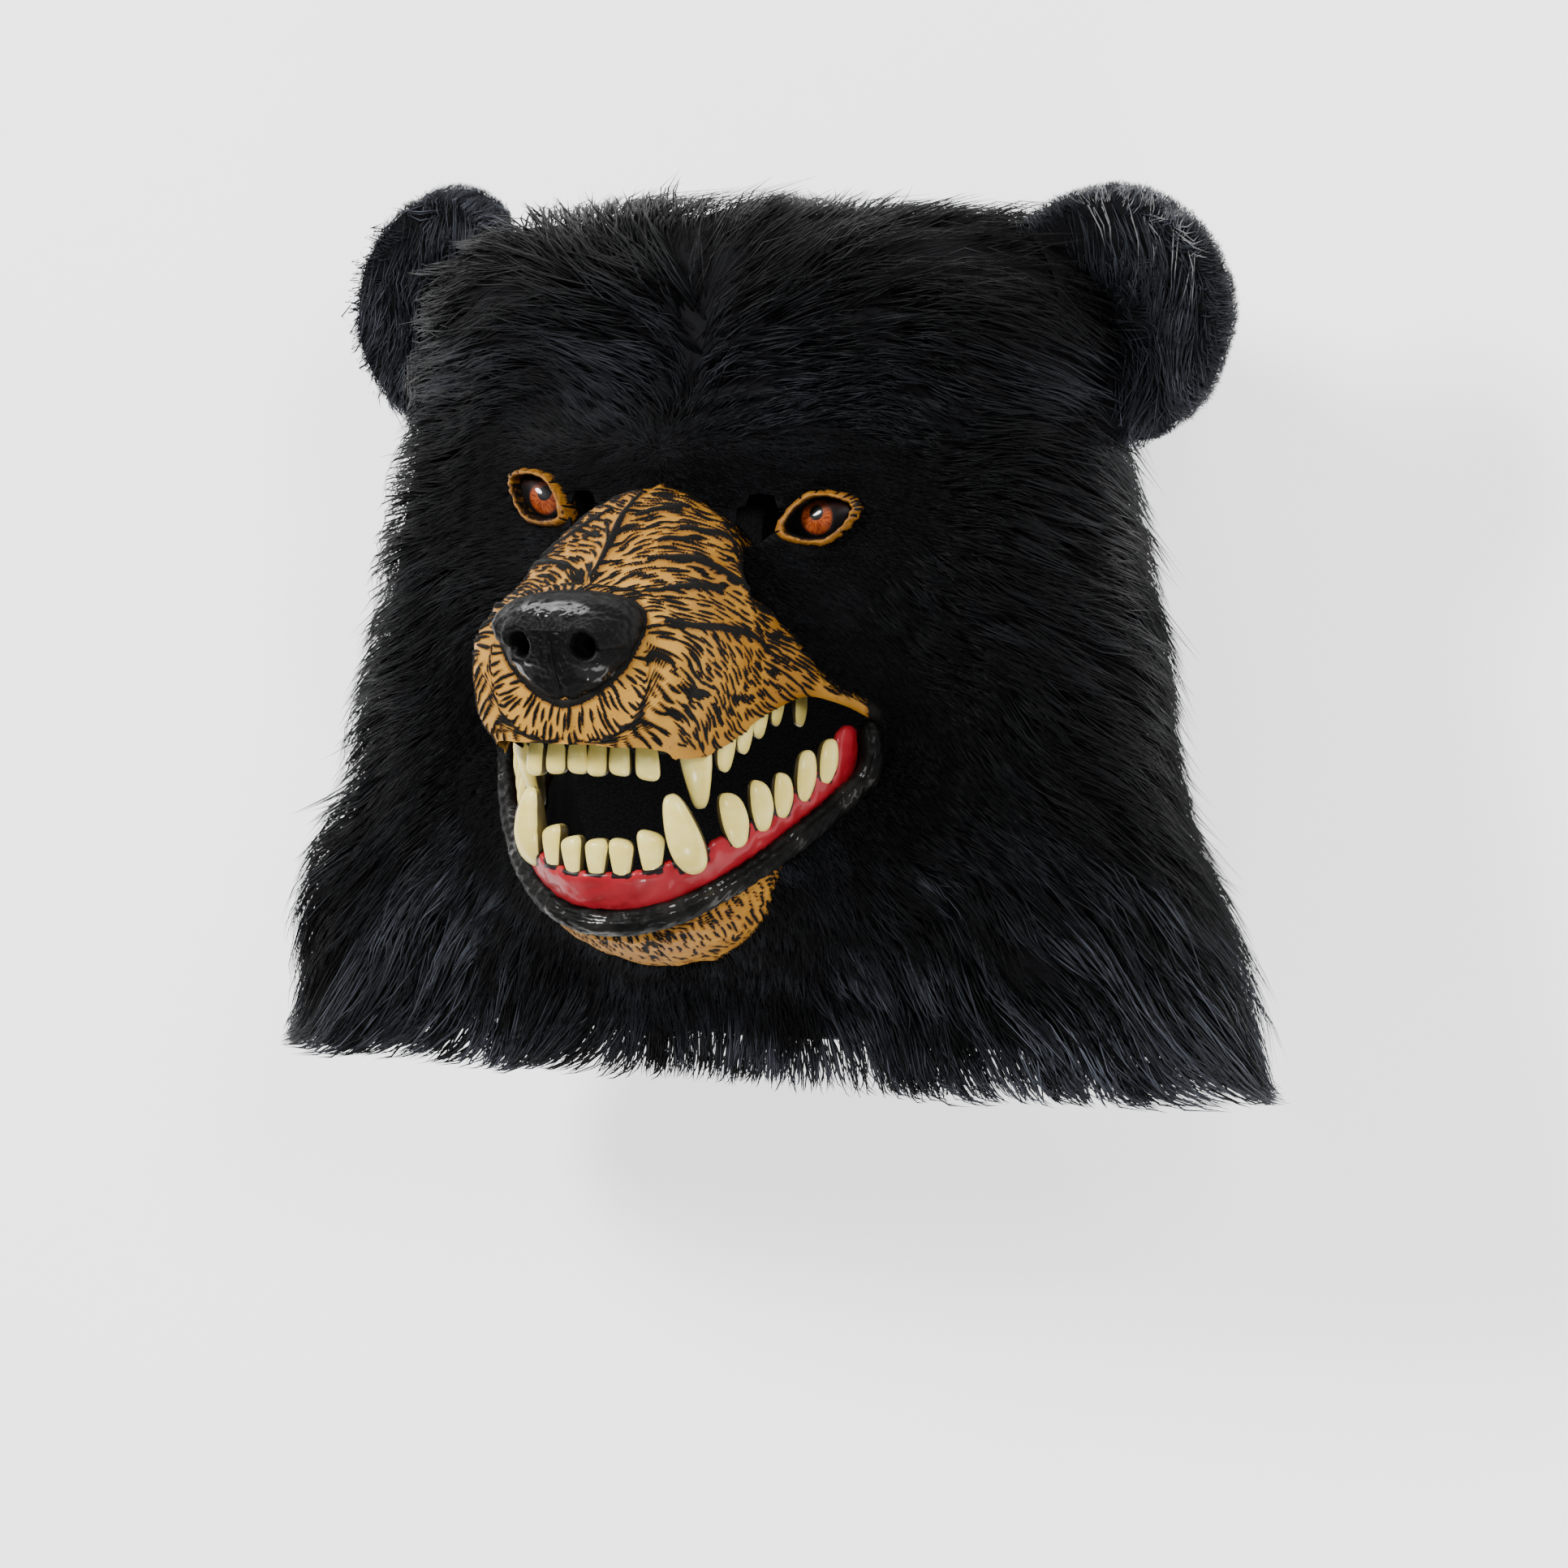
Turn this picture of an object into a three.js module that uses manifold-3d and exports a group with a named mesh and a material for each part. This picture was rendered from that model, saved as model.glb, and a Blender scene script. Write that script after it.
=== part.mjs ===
// A full-overhead bear mask, lying on its back with the face up. Millimetres.
// +X points to the bear's own left, +Y to the top of the head and +Z out of the face.
// The origin is the middle of the flat patch that the back of the hood rests on.
import * as THREE from "three";
import { mergeVertices } from "three/addons/utils/BufferGeometryUtils.js";
import Module from "manifold-3d";

const wasm = await Module();
wasm.setup();

// Room left between neighbouring pieces
const GAP = 0.35;
// Depths that a hole through the face runs between, and a size larger than the whole mask
const HOLE = { from: 150, to: 400 };
const BEYOND = 800;
const PAST = 20;

// Fur hood: outline at each height between the hem and the temples.
// half: half width; front, back: depths of its two faces; wide: depth of its widest place.
const HOOD = [
  { y: -185, half: 204, front: 200, back: -6, wide: 138 },
  { y: -155, half: 203, front: 206, back: -6, wide: 146 },
  { y: -125, half: 194, front: 211, back: -6, wide: 152 },
  { y: -95, half: 178, front: 214, back: -6, wide: 156 },
  { y: -62, half: 170, front: 216, back: -6, wide: 158 },
  { y: -31, half: 166, front: 219, back: -6, wide: 158 },
  { y: 33, half: 153, front: 222, back: -6, wide: 158 },
  { y: 60, half: 147, front: 222, back: -6, wide: 155 },
];
const FRONT_POWER = 2.3;
const BACK_POWER = 1.8;
const CROWN_TOP = 145;
const CROWN_DEPTH = 132;
const CROWN_POWER = 4;
const CROWN_FLAT = 0.35;
const HOOD_ROWS = [10, 6];
const HOLLOW_ROWS = [6, 3];
const FUR_WALL = 24;
const FUR_OVER_FACE = 14;
// Swellings of the front of the hood: the roots of the snout and jaw, and the two brows
const SWELLINGS = [
  { x: 0, y: -15, rise: 28, spreadX: 62, spreadY: 52 },
  { x: 0, y: -112, rise: 44, spreadX: 74, spreadY: 38 },
  { x: 0, y: 48, rise: 12, spreadX: 26, spreadY: 16 },
  { x: 40, y: 50, rise: 11, spreadX: 30, spreadY: 13 },
  { x: -40, y: 50, rise: 11, spreadX: 30, spreadY: 13 },
  { x: 82, y: -64, rise: -14, spreadX: 16, spreadY: 15 },
  { x: -82, y: -64, rise: -14, spreadX: 16, spreadY: 15 },
];

// Ears: an oval pad turned outwards, with a hollowed front
const EAR = { x: 143, y: 102, z: 139, halfWidth: 48, halfHeight: 51, halfThick: 15, turn: 19, cup: 9 };

// Snout: outline at each depth. half: half width; top, mid, low: heights of the bridge line,
// of the widest place and of the underside; up, down: squareness above and below the widest place.
const SNOUT = [
  { z: 190, half: 84, top: 33, mid: -50, low: -110, up: 1.15, down: 2.2 },
  { z: 210, half: 79, top: 33, mid: -50, low: -105, up: 1.15, down: 2.2 },
  { z: 226, half: 62, top: 34, mid: -44, low: -100, up: 1.6, down: 2.2 },
  { z: 240, half: 51, top: 34, mid: -36, low: -95, up: 2.3, down: 2.3 },
  { z: 255, half: 49, top: 29, mid: -30, low: -90, up: 2.3, down: 2.4 },
  { z: 272, half: 49, top: 21, mid: -30, low: -84, up: 1.9, down: 2.5 },
  { z: 286, half: 48, top: 9, mid: -31, low: -81, up: 2, down: 2.5 },
  { z: 299, half: 46, top: -1, mid: -32, low: -76, up: 2.1, down: 2.5 },
];
const SNOUT_RINGS = [190, 212, 226, 238, 253, 270, 286, 299];
const SNOUT_CAP = [0.4, 0.8];
const SNOUT_FRONT = 316;
const SHELL_WALL = 3;
// Edge of the upper lip seen from the side: depth and height
const UPPER_LIP = [
  { z: 190, y: -60 },
  { z: 211, y: -54 },
  { z: 229, y: -50 },
  { z: 240, y: -53.5 },
  { z: 255, y: -60 },
  { z: 276, y: -67 },
  { z: 292, y: -67 },
  { z: 306, y: -63.5 },
  { z: 330, y: -63 },
];

// Nose pad on the front of the snout
const NOSE = { half: 29, top: -5, mid: -20, tip: -49, back: 300, front: 335 };
const NOSE_SLOPE = { above: 9, below: 12 };
const NOSTRIL = { x: 13.5, y: -25, z: 334, halfX: 6, halfY: 7, halfZ: 9 };

// Flange of the face moulding under the fur, seen from the front
const FLANGE = { half: 92, top: 58, low: -62, mid: 10, wall: 3, root: 170, power: 2.6 };

// Eyes: domes behind an almond-shaped surround
const EYE = { x: 59.5, y: 23.5, z: 215.5, radius: 14, flat: 6 };
const SURROUND = { x: 60.5, y: 24, halfX: 17.5, halfY: 10.5, tilt: 20, power: 1.8 };
const SURROUND_LEVELS = [
  { z: 200, share: 1 },
  { z: 224, share: 1 },
  { z: 228.2, share: 0.91 },
  { z: 231, share: 0.66 },
];
const EYE_INSET = 2;
const EYE_OPENING = { x: 59.5, y: 23.5, halfX: 12.5, halfY: 7, tilt: 20, power: 1.6 };
const SLOT = { x: 37, y: 20.5, halfX: 7, halfY: 10.5, tilt: -18, flangeRoom: 2 };

// Lower jaw: the lip runs round it on a bowed line, from the chin back and up to the mouth's corner
const JAW_LINE = { x: 77, frontY: -131.5, rise: 56, frontZ: 277, run: 66, power: 2.1 };
const LIP_RADIUS = 5.2;
const LIP_END = 0.1;
const ROD_POWER = 3;
const LIP_CORNER = [[79, -67, 209], [78, -60, 210.5], [75, -54.5, 213]];
const GUM_CORNER = [[70.5, -68, 216.5], [70.5, -56.5, 214]];
const CHIN = [
  { z: 190, half: 62, top: -80, low: -150 },
  { z: 210, half: 60, top: -80, low: -153 },
  { z: 226, half: 56, top: -93, low: -153 },
  { z: 240, half: 51, top: -104, low: -151 },
  { z: 252, half: 43, top: -114, low: -146 },
  { z: 262, half: 31, top: -123, low: -141 },
  { z: 269, half: 14, top: -130, low: -137 },
];
const CHIN_RINGS = [190, 212, 228, 240, 250, 259, 266, 270];
const CHIN_POWER = 2.1;
const CHIN_LIFT = 40;

// Gums and teeth
const LOWER_GUM = { inset: 0.955, lift: 12.5, drop: 4.5, ahead: 5, halfThick: 3.8, halfHigh: 8.5 };
const UPPER_GUM = { x: 48, frontZ: 293, run: 68, power: 4, lift: 6, halfThick: 3, halfHigh: 5 };
const UPPER_TEETH = [
  { at: 0.09, long: 15, wide: 4.2 },
  { at: 0.266, long: 15, wide: 4.2 },
  { at: 0.444, long: 15, wide: 4.2 },
  { at: 0.7, long: 28, wide: 6.6, canine: true },
  { at: 0.81, long: 20, wide: 4.8 },
  { at: 0.87, long: 18, wide: 4.6 },
  { at: 0.917, long: 17, wide: 4.2 },
  { at: 0.963, long: 15, wide: 4 },
  { at: 1.01, long: 14, wide: 4 },
];
// How each row stands: up or down, how deep the roots sink, the outward lean, the left canine's way
const UPPER_SET = { up: -1, sink: 1, lean: 0.16, fang: [0.14, -1, -0.2] };
const LOWER_SET = { up: 1, sink: 0.5, lean: 0.17, fang: [-0.17, 1, 0.43] };
const LOWER_TEETH = [
  { at: 0, long: 20, wide: 4.8 },
  { at: 0.136, long: 20, wide: 4.8 },
  { at: 0.27, long: 21, wide: 5 },
  { at: 0.463, long: 34, wide: 7.4, canine: true },
  { at: 0.595, long: 23, wide: 6 },
  { at: 0.675, long: 22, wide: 5.4 },
  { at: 0.74, long: 21, wide: 4.8 },
  { at: 0.805, long: 20, wide: 4.8 },
  { at: 0.875, long: 19, wide: 4.6 },
];

// Faces round each form
const SIDES = {
  hood: 26, hollow: 16, ear: 16, snout: 24, inside: 12, nose: 14, flange: 16, slot: 10, surround: 12,
  chin: 10, lip: 6, gum: 4, tooth: 6, canine: 7,
};

const degrees = (angle) => (angle * Math.PI) / 180;
const point = (x, y, z) => new THREE.Vector3(x, y, z);
const count = (n, make) => Array.from({ length: n }, (_, i) => make(i));

// Value of a column of a table of stations, by a smooth cubic through them.
function between(table, along, column, place) {
  const last = table.length - 1;
  let i = 0;
  while (i < last - 1 && place > table[i + 1][along]) i += 1;
  const slope = (k) => {
    const low = table[Math.max(k - 1, 0)];
    const high = table[Math.min(k + 1, last)];
    return (high[column] - low[column]) / (high[along] - low[along]);
  };
  const [a, b] = [table[i], table[i + 1]];
  const span = b[along] - a[along];
  const t = THREE.MathUtils.clamp((place - a[along]) / span, 0, 1);
  const [s, c] = [t * t * (3 - 2 * t), t * (1 - t)];
  const bend = slope(i) * c * (1 - t) - slope(i + 1) * c * t;
  return a[column] + (b[column] - a[column]) * s + bend * span;
}

// Sine or cosine raised to the power that squares a circle off into a superellipse.
const squared = (value, power) => Math.sign(value) * Math.abs(value) ** (2 / power);

// Closed solid through rings of equal length, fanned shut at both ends.
function loft(rings) {
  const sides = rings[0].length;
  const points = rings.flat();
  const index = [];
  for (let r = 0; r + 1 < rings.length; r += 1) {
    for (let s = 0; s < sides; s += 1) {
      const a = r * sides + s;
      const b = r * sides + ((s + 1) % sides);
      index.push(a, b, b + sides, a, b + sides, a + sides);
    }
  }
  for (const [r, first] of [[0, true], [rings.length - 1, false]]) {
    const middle = points.length;
    points.push(rings[r].reduce((sum, p) => sum.add(p), point(0, 0, 0)).divideScalar(sides));
    for (let s = 0; s < sides; s += 1) {
      const a = r * sides + s;
      const b = r * sides + ((s + 1) % sides);
      index.push(middle, first ? b : a, first ? a : b);
    }
  }
  return solid(points, index);
}

// Manifold solid of an indexed mesh, turned right side out.
function solid(points, index) {
  const vertProperties = new Float32Array(points.flatMap((p) => [p.x, p.y, p.z]));
  const build = (order) => {
    const mesh = new wasm.Mesh({ numProp: 3, vertProperties, triVerts: new Uint32Array(order) });
    return new wasm.Manifold(mesh);
  };
  const body = build(index);
  if (body.volume() > 0) return body;
  const turned = [];
  for (let i = 0; i < index.length; i += 3) turned.push(index[i], index[i + 2], index[i + 1]);
  return build(turned);
}

// Manifold solid of one of three.js's own closed geometries.
function fromGeometry(geometry) {
  geometry.deleteAttribute("normal");
  geometry.deleteAttribute("uv");
  const merged = mergeVertices(geometry, 1e-4);
  const place = merged.getAttribute("position");
  return solid(
    count(place.count, (i) => new THREE.Vector3().fromBufferAttribute(place, i)),
    Array.from(merged.index.array),
  );
}

// The largest of a solid's separate bodies, which leaves stray slivers of a cut behind.
function largest(body) {
  return body.decompose().reduce((most, next) => (next.volume() > most.volume() ? next : most));
}

const join = (bodies) => bodies.reduce((sum, next) => sum.add(next));
const cut = (body, tools) => tools.reduce((rest, tool) => rest.subtract(tool), body);

// The same solid on the bear's other side.
function mirrored(body) {
  return body.mirror([1, 0, 0]);
}

// Prism along Z over an outline in X and Y.
function prism(outline, from, to) {
  return loft([from, to].map((z) => outline.map((p) => point(p.x, p.y, z))));
}

// Outline of a squared ellipse in X and Y, turned by a tilt in degrees.
function oval({ x, y, halfX, halfY, tilt = 0, power = 2 }, grow, sides) {
  return count(sides, (s) => {
    const angle = (2 * Math.PI * s) / sides;
    const p = point(
      (halfX + grow) * squared(Math.cos(angle), power),
      (halfY + grow) * squared(Math.sin(angle), power),
      0,
    );
    return p.applyAxisAngle(point(0, 0, 1), degrees(tilt)).add(point(x, y, 0));
  });
}

// Bent rod: a rounded section, half[0] across and half[1] towards up, carried along a row of points.
function sweep(path, half, up, sides) {
  return loft(path.map((p, i) => {
    const along = path[Math.min(i + 1, path.length - 1)].clone().sub(path[Math.max(i - 1, 0)]).normalize();
    const across = along.clone().cross(up).normalize();
    const high = across.clone().cross(along);
    return count(sides, (s) => {
      const angle = (2 * Math.PI * (s + 0.5)) / sides;
      return p.clone()
        .addScaledVector(across, half[0] * squared(Math.cos(angle), ROD_POWER))
        .addScaledVector(high, half[1] * squared(Math.sin(angle), ROD_POWER));
    });
  }));
}

// Fur hood. The front face is a height over X and Y, so the face pieces can be set into it.
function swelling(x, y) {
  return SWELLINGS.reduce((sum, s) => {
    const reach = ((x - s.x) / s.spreadX) ** 2 + ((y - s.y) / s.spreadY) ** 2;
    return sum + s.rise * Math.exp(-reach);
  }, 0);
}

function hoodSize(y) {
  const temple = HOOD[HOOD.length - 1];
  if (y <= temple.y) {
    return {
      half: between(HOOD, "y", "half", y),
      front: between(HOOD, "y", "front", y),
      back: between(HOOD, "y", "back", y),
      wide: between(HOOD, "y", "wide", y),
    };
  }
  const up = (y - temple.y) / (CROWN_TOP - temple.y);
  const share = Math.max(1 - up ** CROWN_POWER, 0) ** (1 / CROWN_POWER);
  const toward = (depth) => CROWN_DEPTH + (depth - CROWN_DEPTH) * share;
  return {
    half: temple.half * share,
    front: toward(temple.front),
    back: toward(temple.back),
    wide: toward(temple.wide),
  };
}

function hoodPoint(y, angle) {
  const { half, front, back, wide } = hoodSize(y);
  const forward = Math.cos(angle) > 0;
  const power = forward ? FRONT_POWER : BACK_POWER;
  const x = half * squared(Math.sin(angle), power);
  const reach = squared(Math.cos(angle), power);
  const z = wide + reach * (forward ? front - wide : wide - back);
  return point(x, y, z + (forward ? swelling(x, y) * reach : 0));
}

// Depth of the hood's front face over a place in X and Y.
function furDepth(x, y) {
  const { half, front, wide } = hoodSize(y);
  const reach = Math.max(1 - Math.min(Math.abs(x) / half, 1) ** FRONT_POWER, 0) ** (1 / FRONT_POWER);
  return wide + (front - wide + swelling(x, y)) * reach;
}

// Heights of the hood's rings, closer together towards the crown.
function hoodHeights(rows, capRows) {
  const [hem, temple] = [HOOD[0].y, HOOD[HOOD.length - 1].y];
  const lower = count(rows, (i) => hem + ((temple - hem) * i) / rows);
  const cap = count(capRows, (i) => {
    return temple + (CROWN_TOP - temple) * squared(Math.sin((Math.PI / 2) * (i / capRows)), CROWN_POWER);
  });
  return [...lower, ...cap];
}

// Hood envelope, moved outwards by grow along its normals, and carried on past the hem by extra.
function hoodSolid(grow, extra, sides, rows, capRows) {
  const step = 0.01;
  const rings = hoodHeights(rows, capRows).map((y) => count(sides, (s) => {
    const angle = (2 * Math.PI * (s + 0.5)) / sides;
    const at = hoodPoint(y, angle);
    const round = hoodPoint(y, angle + step).sub(hoodPoint(y, angle - step));
    const rise = hoodPoint(Math.min(y + step, CROWN_TOP), angle).sub(hoodPoint(y - step, angle));
    return at.addScaledVector(round.cross(rise).normalize(), grow);
  }));
  const top = rings[rings.length - 1].map((p) => {
    return point(p.x * CROWN_FLAT, CROWN_TOP + grow, CROWN_DEPTH + (p.z - CROWN_DEPTH) * CROWN_FLAT);
  });
  const start = extra > 0 ? [rings[0].map((p) => point(p.x, HOOD[0].y - extra, p.z))] : [];
  return loft([...start, ...rings, top]);
}

// Rings of a form moved forward by ahead, but the first one back, so that its end is past its neighbour's.
function moved(depths, ahead, ringAt) {
  return depths.map((z, i) => ringAt(z, i === 0 ? z - Math.abs(ahead) : z + ahead));
}

// Snout, full round to its underside, grown outwards by grow and moved forward by ahead.
function snoutSolid(grow, ahead, sides = SIDES.snout) {
  const ringAt = (size, z) => count(sides, (s) => {
    const angle = (2 * Math.PI * s) / sides;
    const above = Math.sin(angle) >= 0;
    const power = above ? size.up : size.down;
    const tall = above ? size.top - size.mid : size.mid - size.low;
    return point(
      (size.half + grow) * squared(Math.cos(angle), power),
      size.mid + (tall + grow) * squared(Math.sin(angle), power),
      z,
    );
  });
  const sizeAt = (z) => Object.fromEntries(
    ["half", "top", "mid", "low", "up", "down"].map((column) => [column, between(SNOUT, "z", column, z)]),
  );
  const rings = moved(SNOUT_RINGS, ahead, (z, place) => ringAt(sizeAt(z), place));
  const edge = SNOUT_RINGS[SNOUT_RINGS.length - 1];
  const last = sizeAt(edge);
  const cap = SNOUT_CAP.map((t) => {
    const share = Math.sqrt(1 - t * t);
    const shrink = { ...last, half: last.half * share };
    shrink.top = last.mid + (last.top - last.mid) * share;
    shrink.low = last.mid + (last.low - last.mid) * share;
    return ringAt(shrink, edge + (SNOUT_FRONT - edge) * t + ahead);
  });
  return loft([...rings, ...cap]);
}

// Everything below the upper lip's edge, as a prism across the face.
function belowUpperLip(drop) {
  const edge = UPPER_LIP.map(({ z, y }) => ({ z, y: y - drop }));
  const outline = [
    ...edge,
    { z: HOLE.to, y: edge[edge.length - 1].y },
    { z: HOLE.to, y: -BEYOND },
    { z: HOLE.from, y: -BEYOND },
    { z: HOLE.from, y: edge[0].y },
  ];
  return loft([-BEYOND, BEYOND].map((x) => outline.map((p) => point(x, p.y, p.z))));
}

// Height of the upper lip's edge at a depth.
const lipHeight = (z) => between(UPPER_LIP, "z", "y", z);

// Space inside an outline, from a flat bottom up to a depth below the fur.
function underFur(outline, depth, bottom) {
  const top = [1, 0.78, 0.52, 0.26].map((share) => outline.map((p) => {
    return point(p.x * share, p.y * share, furDepth(p.x * share, p.y * share) - depth);
  }));
  return loft([outline.map((p) => point(p.x, p.y, bottom)), ...top]);
}

function flangeOutline(grow) {
  return count(SIDES.flange, (s) => {
    const angle = (2 * Math.PI * s) / SIDES.flange;
    const tall = Math.sin(angle) >= 0 ? FLANGE.top - FLANGE.mid : FLANGE.mid - FLANGE.low;
    return point(
      (FLANGE.half + grow) * squared(Math.cos(angle), FLANGE.power),
      FLANGE.mid + (tall + grow) * squared(Math.sin(angle), FLANGE.power),
      0,
    );
  });
}

// Almond eye surround, as a mound that stands up through the fur.
function surroundSolid(grow) {
  return loft(SURROUND_LEVELS.map(({ z, share }) => {
    const size = { ...SURROUND, halfX: SURROUND.halfX * share, halfY: SURROUND.halfY * share };
    return oval(size, grow, SIDES.surround).map((p) => point(p.x, p.y, z + grow));
  }));
}

// Ball stretched to three radii, with its centre at a place.
function ball({ x, y, z }, radii, across, down) {
  return fromGeometry(new THREE.SphereGeometry(1, across, down)).scale(radii).translate([x, y, z]);
}

// Nose pad: squared above and drawn to a point below, with two nostril hollows.
function noseSolid() {
  const rings = [
    { t: 0, share: 0.94 },
    { t: 0.3, share: 1 },
    { t: 0.6, share: 0.95 },
    { t: 0.84, share: 0.8 },
    { t: 0.97, share: 0.56 },
    { t: 1, share: 0.34 },
  ].map(({ t, share }) => count(SIDES.nose, (s) => {
    const angle = (2 * Math.PI * s) / SIDES.nose;
    const above = Math.sin(angle) >= 0;
    const power = above ? 2.8 : 1.6;
    const tall = above ? NOSE.top - NOSE.mid : NOSE.mid - NOSE.tip;
    const slope = above ? NOSE_SLOPE.above : NOSE_SLOPE.below;
    return point(
      share * NOSE.half * squared(Math.cos(angle), power),
      NOSE.mid + tall * share * squared(Math.sin(angle), power),
      NOSE.back + (NOSE.front - NOSE.back) * t - slope * Math.abs(Math.sin(angle)) * share * t,
    );
  }));
  const nostril = ball(NOSTRIL, [NOSTRIL.halfX, NOSTRIL.halfY, NOSTRIL.halfZ], 10, 6);
  return cut(loft(rings), [nostril, mirrored(nostril)]);
}

// Lower jaw. The lip's line is a curve of s, from one corner of the mouth at -1 to the other at 1.
function jawLine(s) {
  const q = Math.abs(s) ** JAW_LINE.power;
  return point(JAW_LINE.x * s, JAW_LINE.frontY + JAW_LINE.rise * q, JAW_LINE.frontZ - JAW_LINE.run * q);
}

// A line in the middle of the mouth, carried on round both corners.
function withCorners(middle, corner) {
  const left = corner.map(([x, y, z]) => point(x, y, z));
  const right = corner.map(([x, y, z]) => point(-x, y, z)).reverse();
  return [...right, ...middle, ...left];
}

const lipPath = () => withCorners(count(17, (i) => jawLine(-1 + i / 8)), LIP_CORNER);

// Chin as a bowl, shrunk by inset, moved forward by ahead and carried up past its edge by lift.
function chinSolid(inset, ahead, lift) {
  const rings = moved(CHIN_RINGS, ahead, (z, place) => {
    const half = between(CHIN, "z", "half", z) - inset;
    const edge = between(CHIN, "z", "top", z);
    const low = between(CHIN, "z", "low", z) + inset;
    const bowl = count(SIDES.chin, (s) => {
      const angle = Math.PI * (1 + s / (SIDES.chin - 1));
      return point(
        half * squared(Math.cos(angle), CHIN_POWER),
        edge + (edge - low) * squared(Math.sin(angle), CHIN_POWER),
        place,
      );
    });
    const rim = [point(half, edge + lift, place), point(-half, edge + lift, place)];
    return lift > 0 ? [...bowl, ...rim] : bowl;
  });
  return loft(rings);
}

// Lip, made thicker and longer by grow.
function lipSolid(grow) {
  const path = lipPath();
  const last = path.length - 1;
  for (const [end, next] of [[0, 1], [last, last - 1]]) {
    path[end].add(path[end].clone().sub(path[next]).setLength(grow + LIP_END));
  }
  return sweep(path, [LIP_RADIUS + grow, LIP_RADIUS + grow], point(0, 1, 1).normalize(), SIDES.lip);
}

// One tooth: root at its base, length along a direction, with a full crown drawn to its tip.
function toothSolid({ root, toward, face, long, wide, thick, canine }) {
  const sides = canine ? SIDES.canine : SIDES.tooth;
  const profile = canine
    ? [[0, 0.85], [0.3, 1], [0.7, 0.74], [1, 0.24]]
    : [[0, 0.82], [0.6, 1], [1, 0.5]];
  const along = toward.clone().normalize();
  const across = along.clone().cross(face).normalize();
  const out = across.clone().cross(along).multiplyScalar(-1);
  return loft(profile.map(([t, share]) => count(sides, (s) => {
    const angle = (2 * Math.PI * (s + 0.5)) / sides;
    const bow = canine ? Math.sin(Math.PI * t) * long * 0.06 : 0;
    return root.clone()
      .addScaledVector(along, long * t)
      .addScaledVector(out, bow + thick * share * Math.sin(angle))
      .addScaledVector(across, wide * share * Math.cos(angle));
  })));
}

// Upper gum: the strip that the upper teeth stand in, along the inside of the lip.
function upperLine(s) {
  const z = UPPER_GUM.frontZ - UPPER_GUM.run * Math.abs(s) ** UPPER_GUM.power;
  return point(UPPER_GUM.x * s, lipHeight(z) + UPPER_GUM.lift, z);
}

function lowerLine(s) {
  const p = jawLine(s);
  const lift = LOWER_GUM.lift - LOWER_GUM.drop * Math.abs(s);
  return point(p.x * LOWER_GUM.inset, p.y + lift, p.z + LOWER_GUM.ahead * (1 - s * s));
}

// A row of teeth along a line, on both sides of the middle.
function toothRow(teeth, line, { up, sink, lean, fang }) {
  return teeth.flatMap((tooth) => (tooth.at === 0 ? [1] : [-1, 1]).map((side) => {
    const at = side * tooth.at;
    const along = line(at + 0.01).sub(line(at - 0.01));
    const face = point(0, 1, 0).cross(along).multiplyScalar(-1).normalize();
    const [x, y, z] = fang;
    return toothSolid({
      ...tooth,
      root: line(at).add(point(0, -up * sink, 0)),
      toward: tooth.canine ? point(side * x, y, z) : point(0, up, 0).addScaledVector(face, lean),
      face: tooth.canine ? face.add(point(0, 0, 1)) : face,
      thick: tooth.wide * 0.8,
    });
  }));
}

// Ear: an oval pad, hollowed in front, turned outwards and cut to fit on the hood.
function earSolid(hoodRoom) {
  const { halfWidth, halfHeight, halfThick, cup } = EAR;
  const shares = [
    { t: 0, share: 0.4, back: 1 },
    { t: 0.25, share: 0.8, back: 0.8 },
    { t: 0.5, share: 1, back: 0.1 },
    { t: 0.75, share: 0.88, back: -0.75 },
    { t: 0.85, share: 0.6, back: -0.45 },
    { t: 1, share: 0.3, back: -0.15 },
  ];
  const pad = loft(shares.map(({ share, back }) => count(SIDES.ear, (s) => {
    const angle = (2 * Math.PI * s) / SIDES.ear;
    const curl = cup * Math.cos(angle) ** 2 * share * share;
    return point(
      halfWidth * share * Math.cos(angle),
      halfHeight * share * Math.sin(angle),
      -halfThick * back + curl,
    );
  })));
  return largest(pad.rotate([0, EAR.turn, 0]).translate([EAR.x, EAR.y, EAR.z]).subtract(hoodRoom));
}

function material(color, roughness, metalness = 0) {
  return new THREE.MeshStandardMaterial({ color, roughness, metalness });
}

const FINISHES = {
  fur: material(0x15171a, 0.85),
  mould: material(0xb07832, 0.5),
  eye: material(0x8c3a12, 0.08),
  teeth: material(0xe3d9a8, 0.22),
  gum: material(0xa8182c, 0.25),
};

// Puts a finished solid into the group as a named mesh.
function piece(name, body, finish) {
  const { vertProperties, triVerts } = body.getMesh();
  const geometry = new THREE.BufferGeometry();
  geometry.setAttribute("position", new THREE.BufferAttribute(new Float32Array(vertProperties), 3));
  geometry.setIndex(Array.from(triVerts));
  geometry.computeVertexNormals();
  const mesh = new THREE.Mesh(geometry, finish);
  mesh.name = name;
  return mesh;
}

// Block that a solid is cut off flat with, from its top face down.
function below(z) {
  return fromGeometry(new THREE.BoxGeometry(BEYOND, BEYOND, BEYOND)).translate([0, 0, z - BEYOND / 2]);
}

const holeThrough = (outline) => prism(outline, HOLE.from, HOLE.to);
const slotHole = holeThrough(oval(SLOT, SLOT.flangeRoom, SIDES.slot));
const slotFurHole = holeThrough(oval(SLOT, 0, SIDES.slot));
const mouthHole = holeThrough(lipPath());
const eyeHole = prism(oval(EYE_OPENING, 0, SIDES.surround), EYE.z, HOLE.to);
const eyeBall = (grow) => ball(EYE, Array(3).fill(EYE.radius + grow), 10, 7)
  .intersect(surroundSolid(grow - EYE_INSET));

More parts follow.
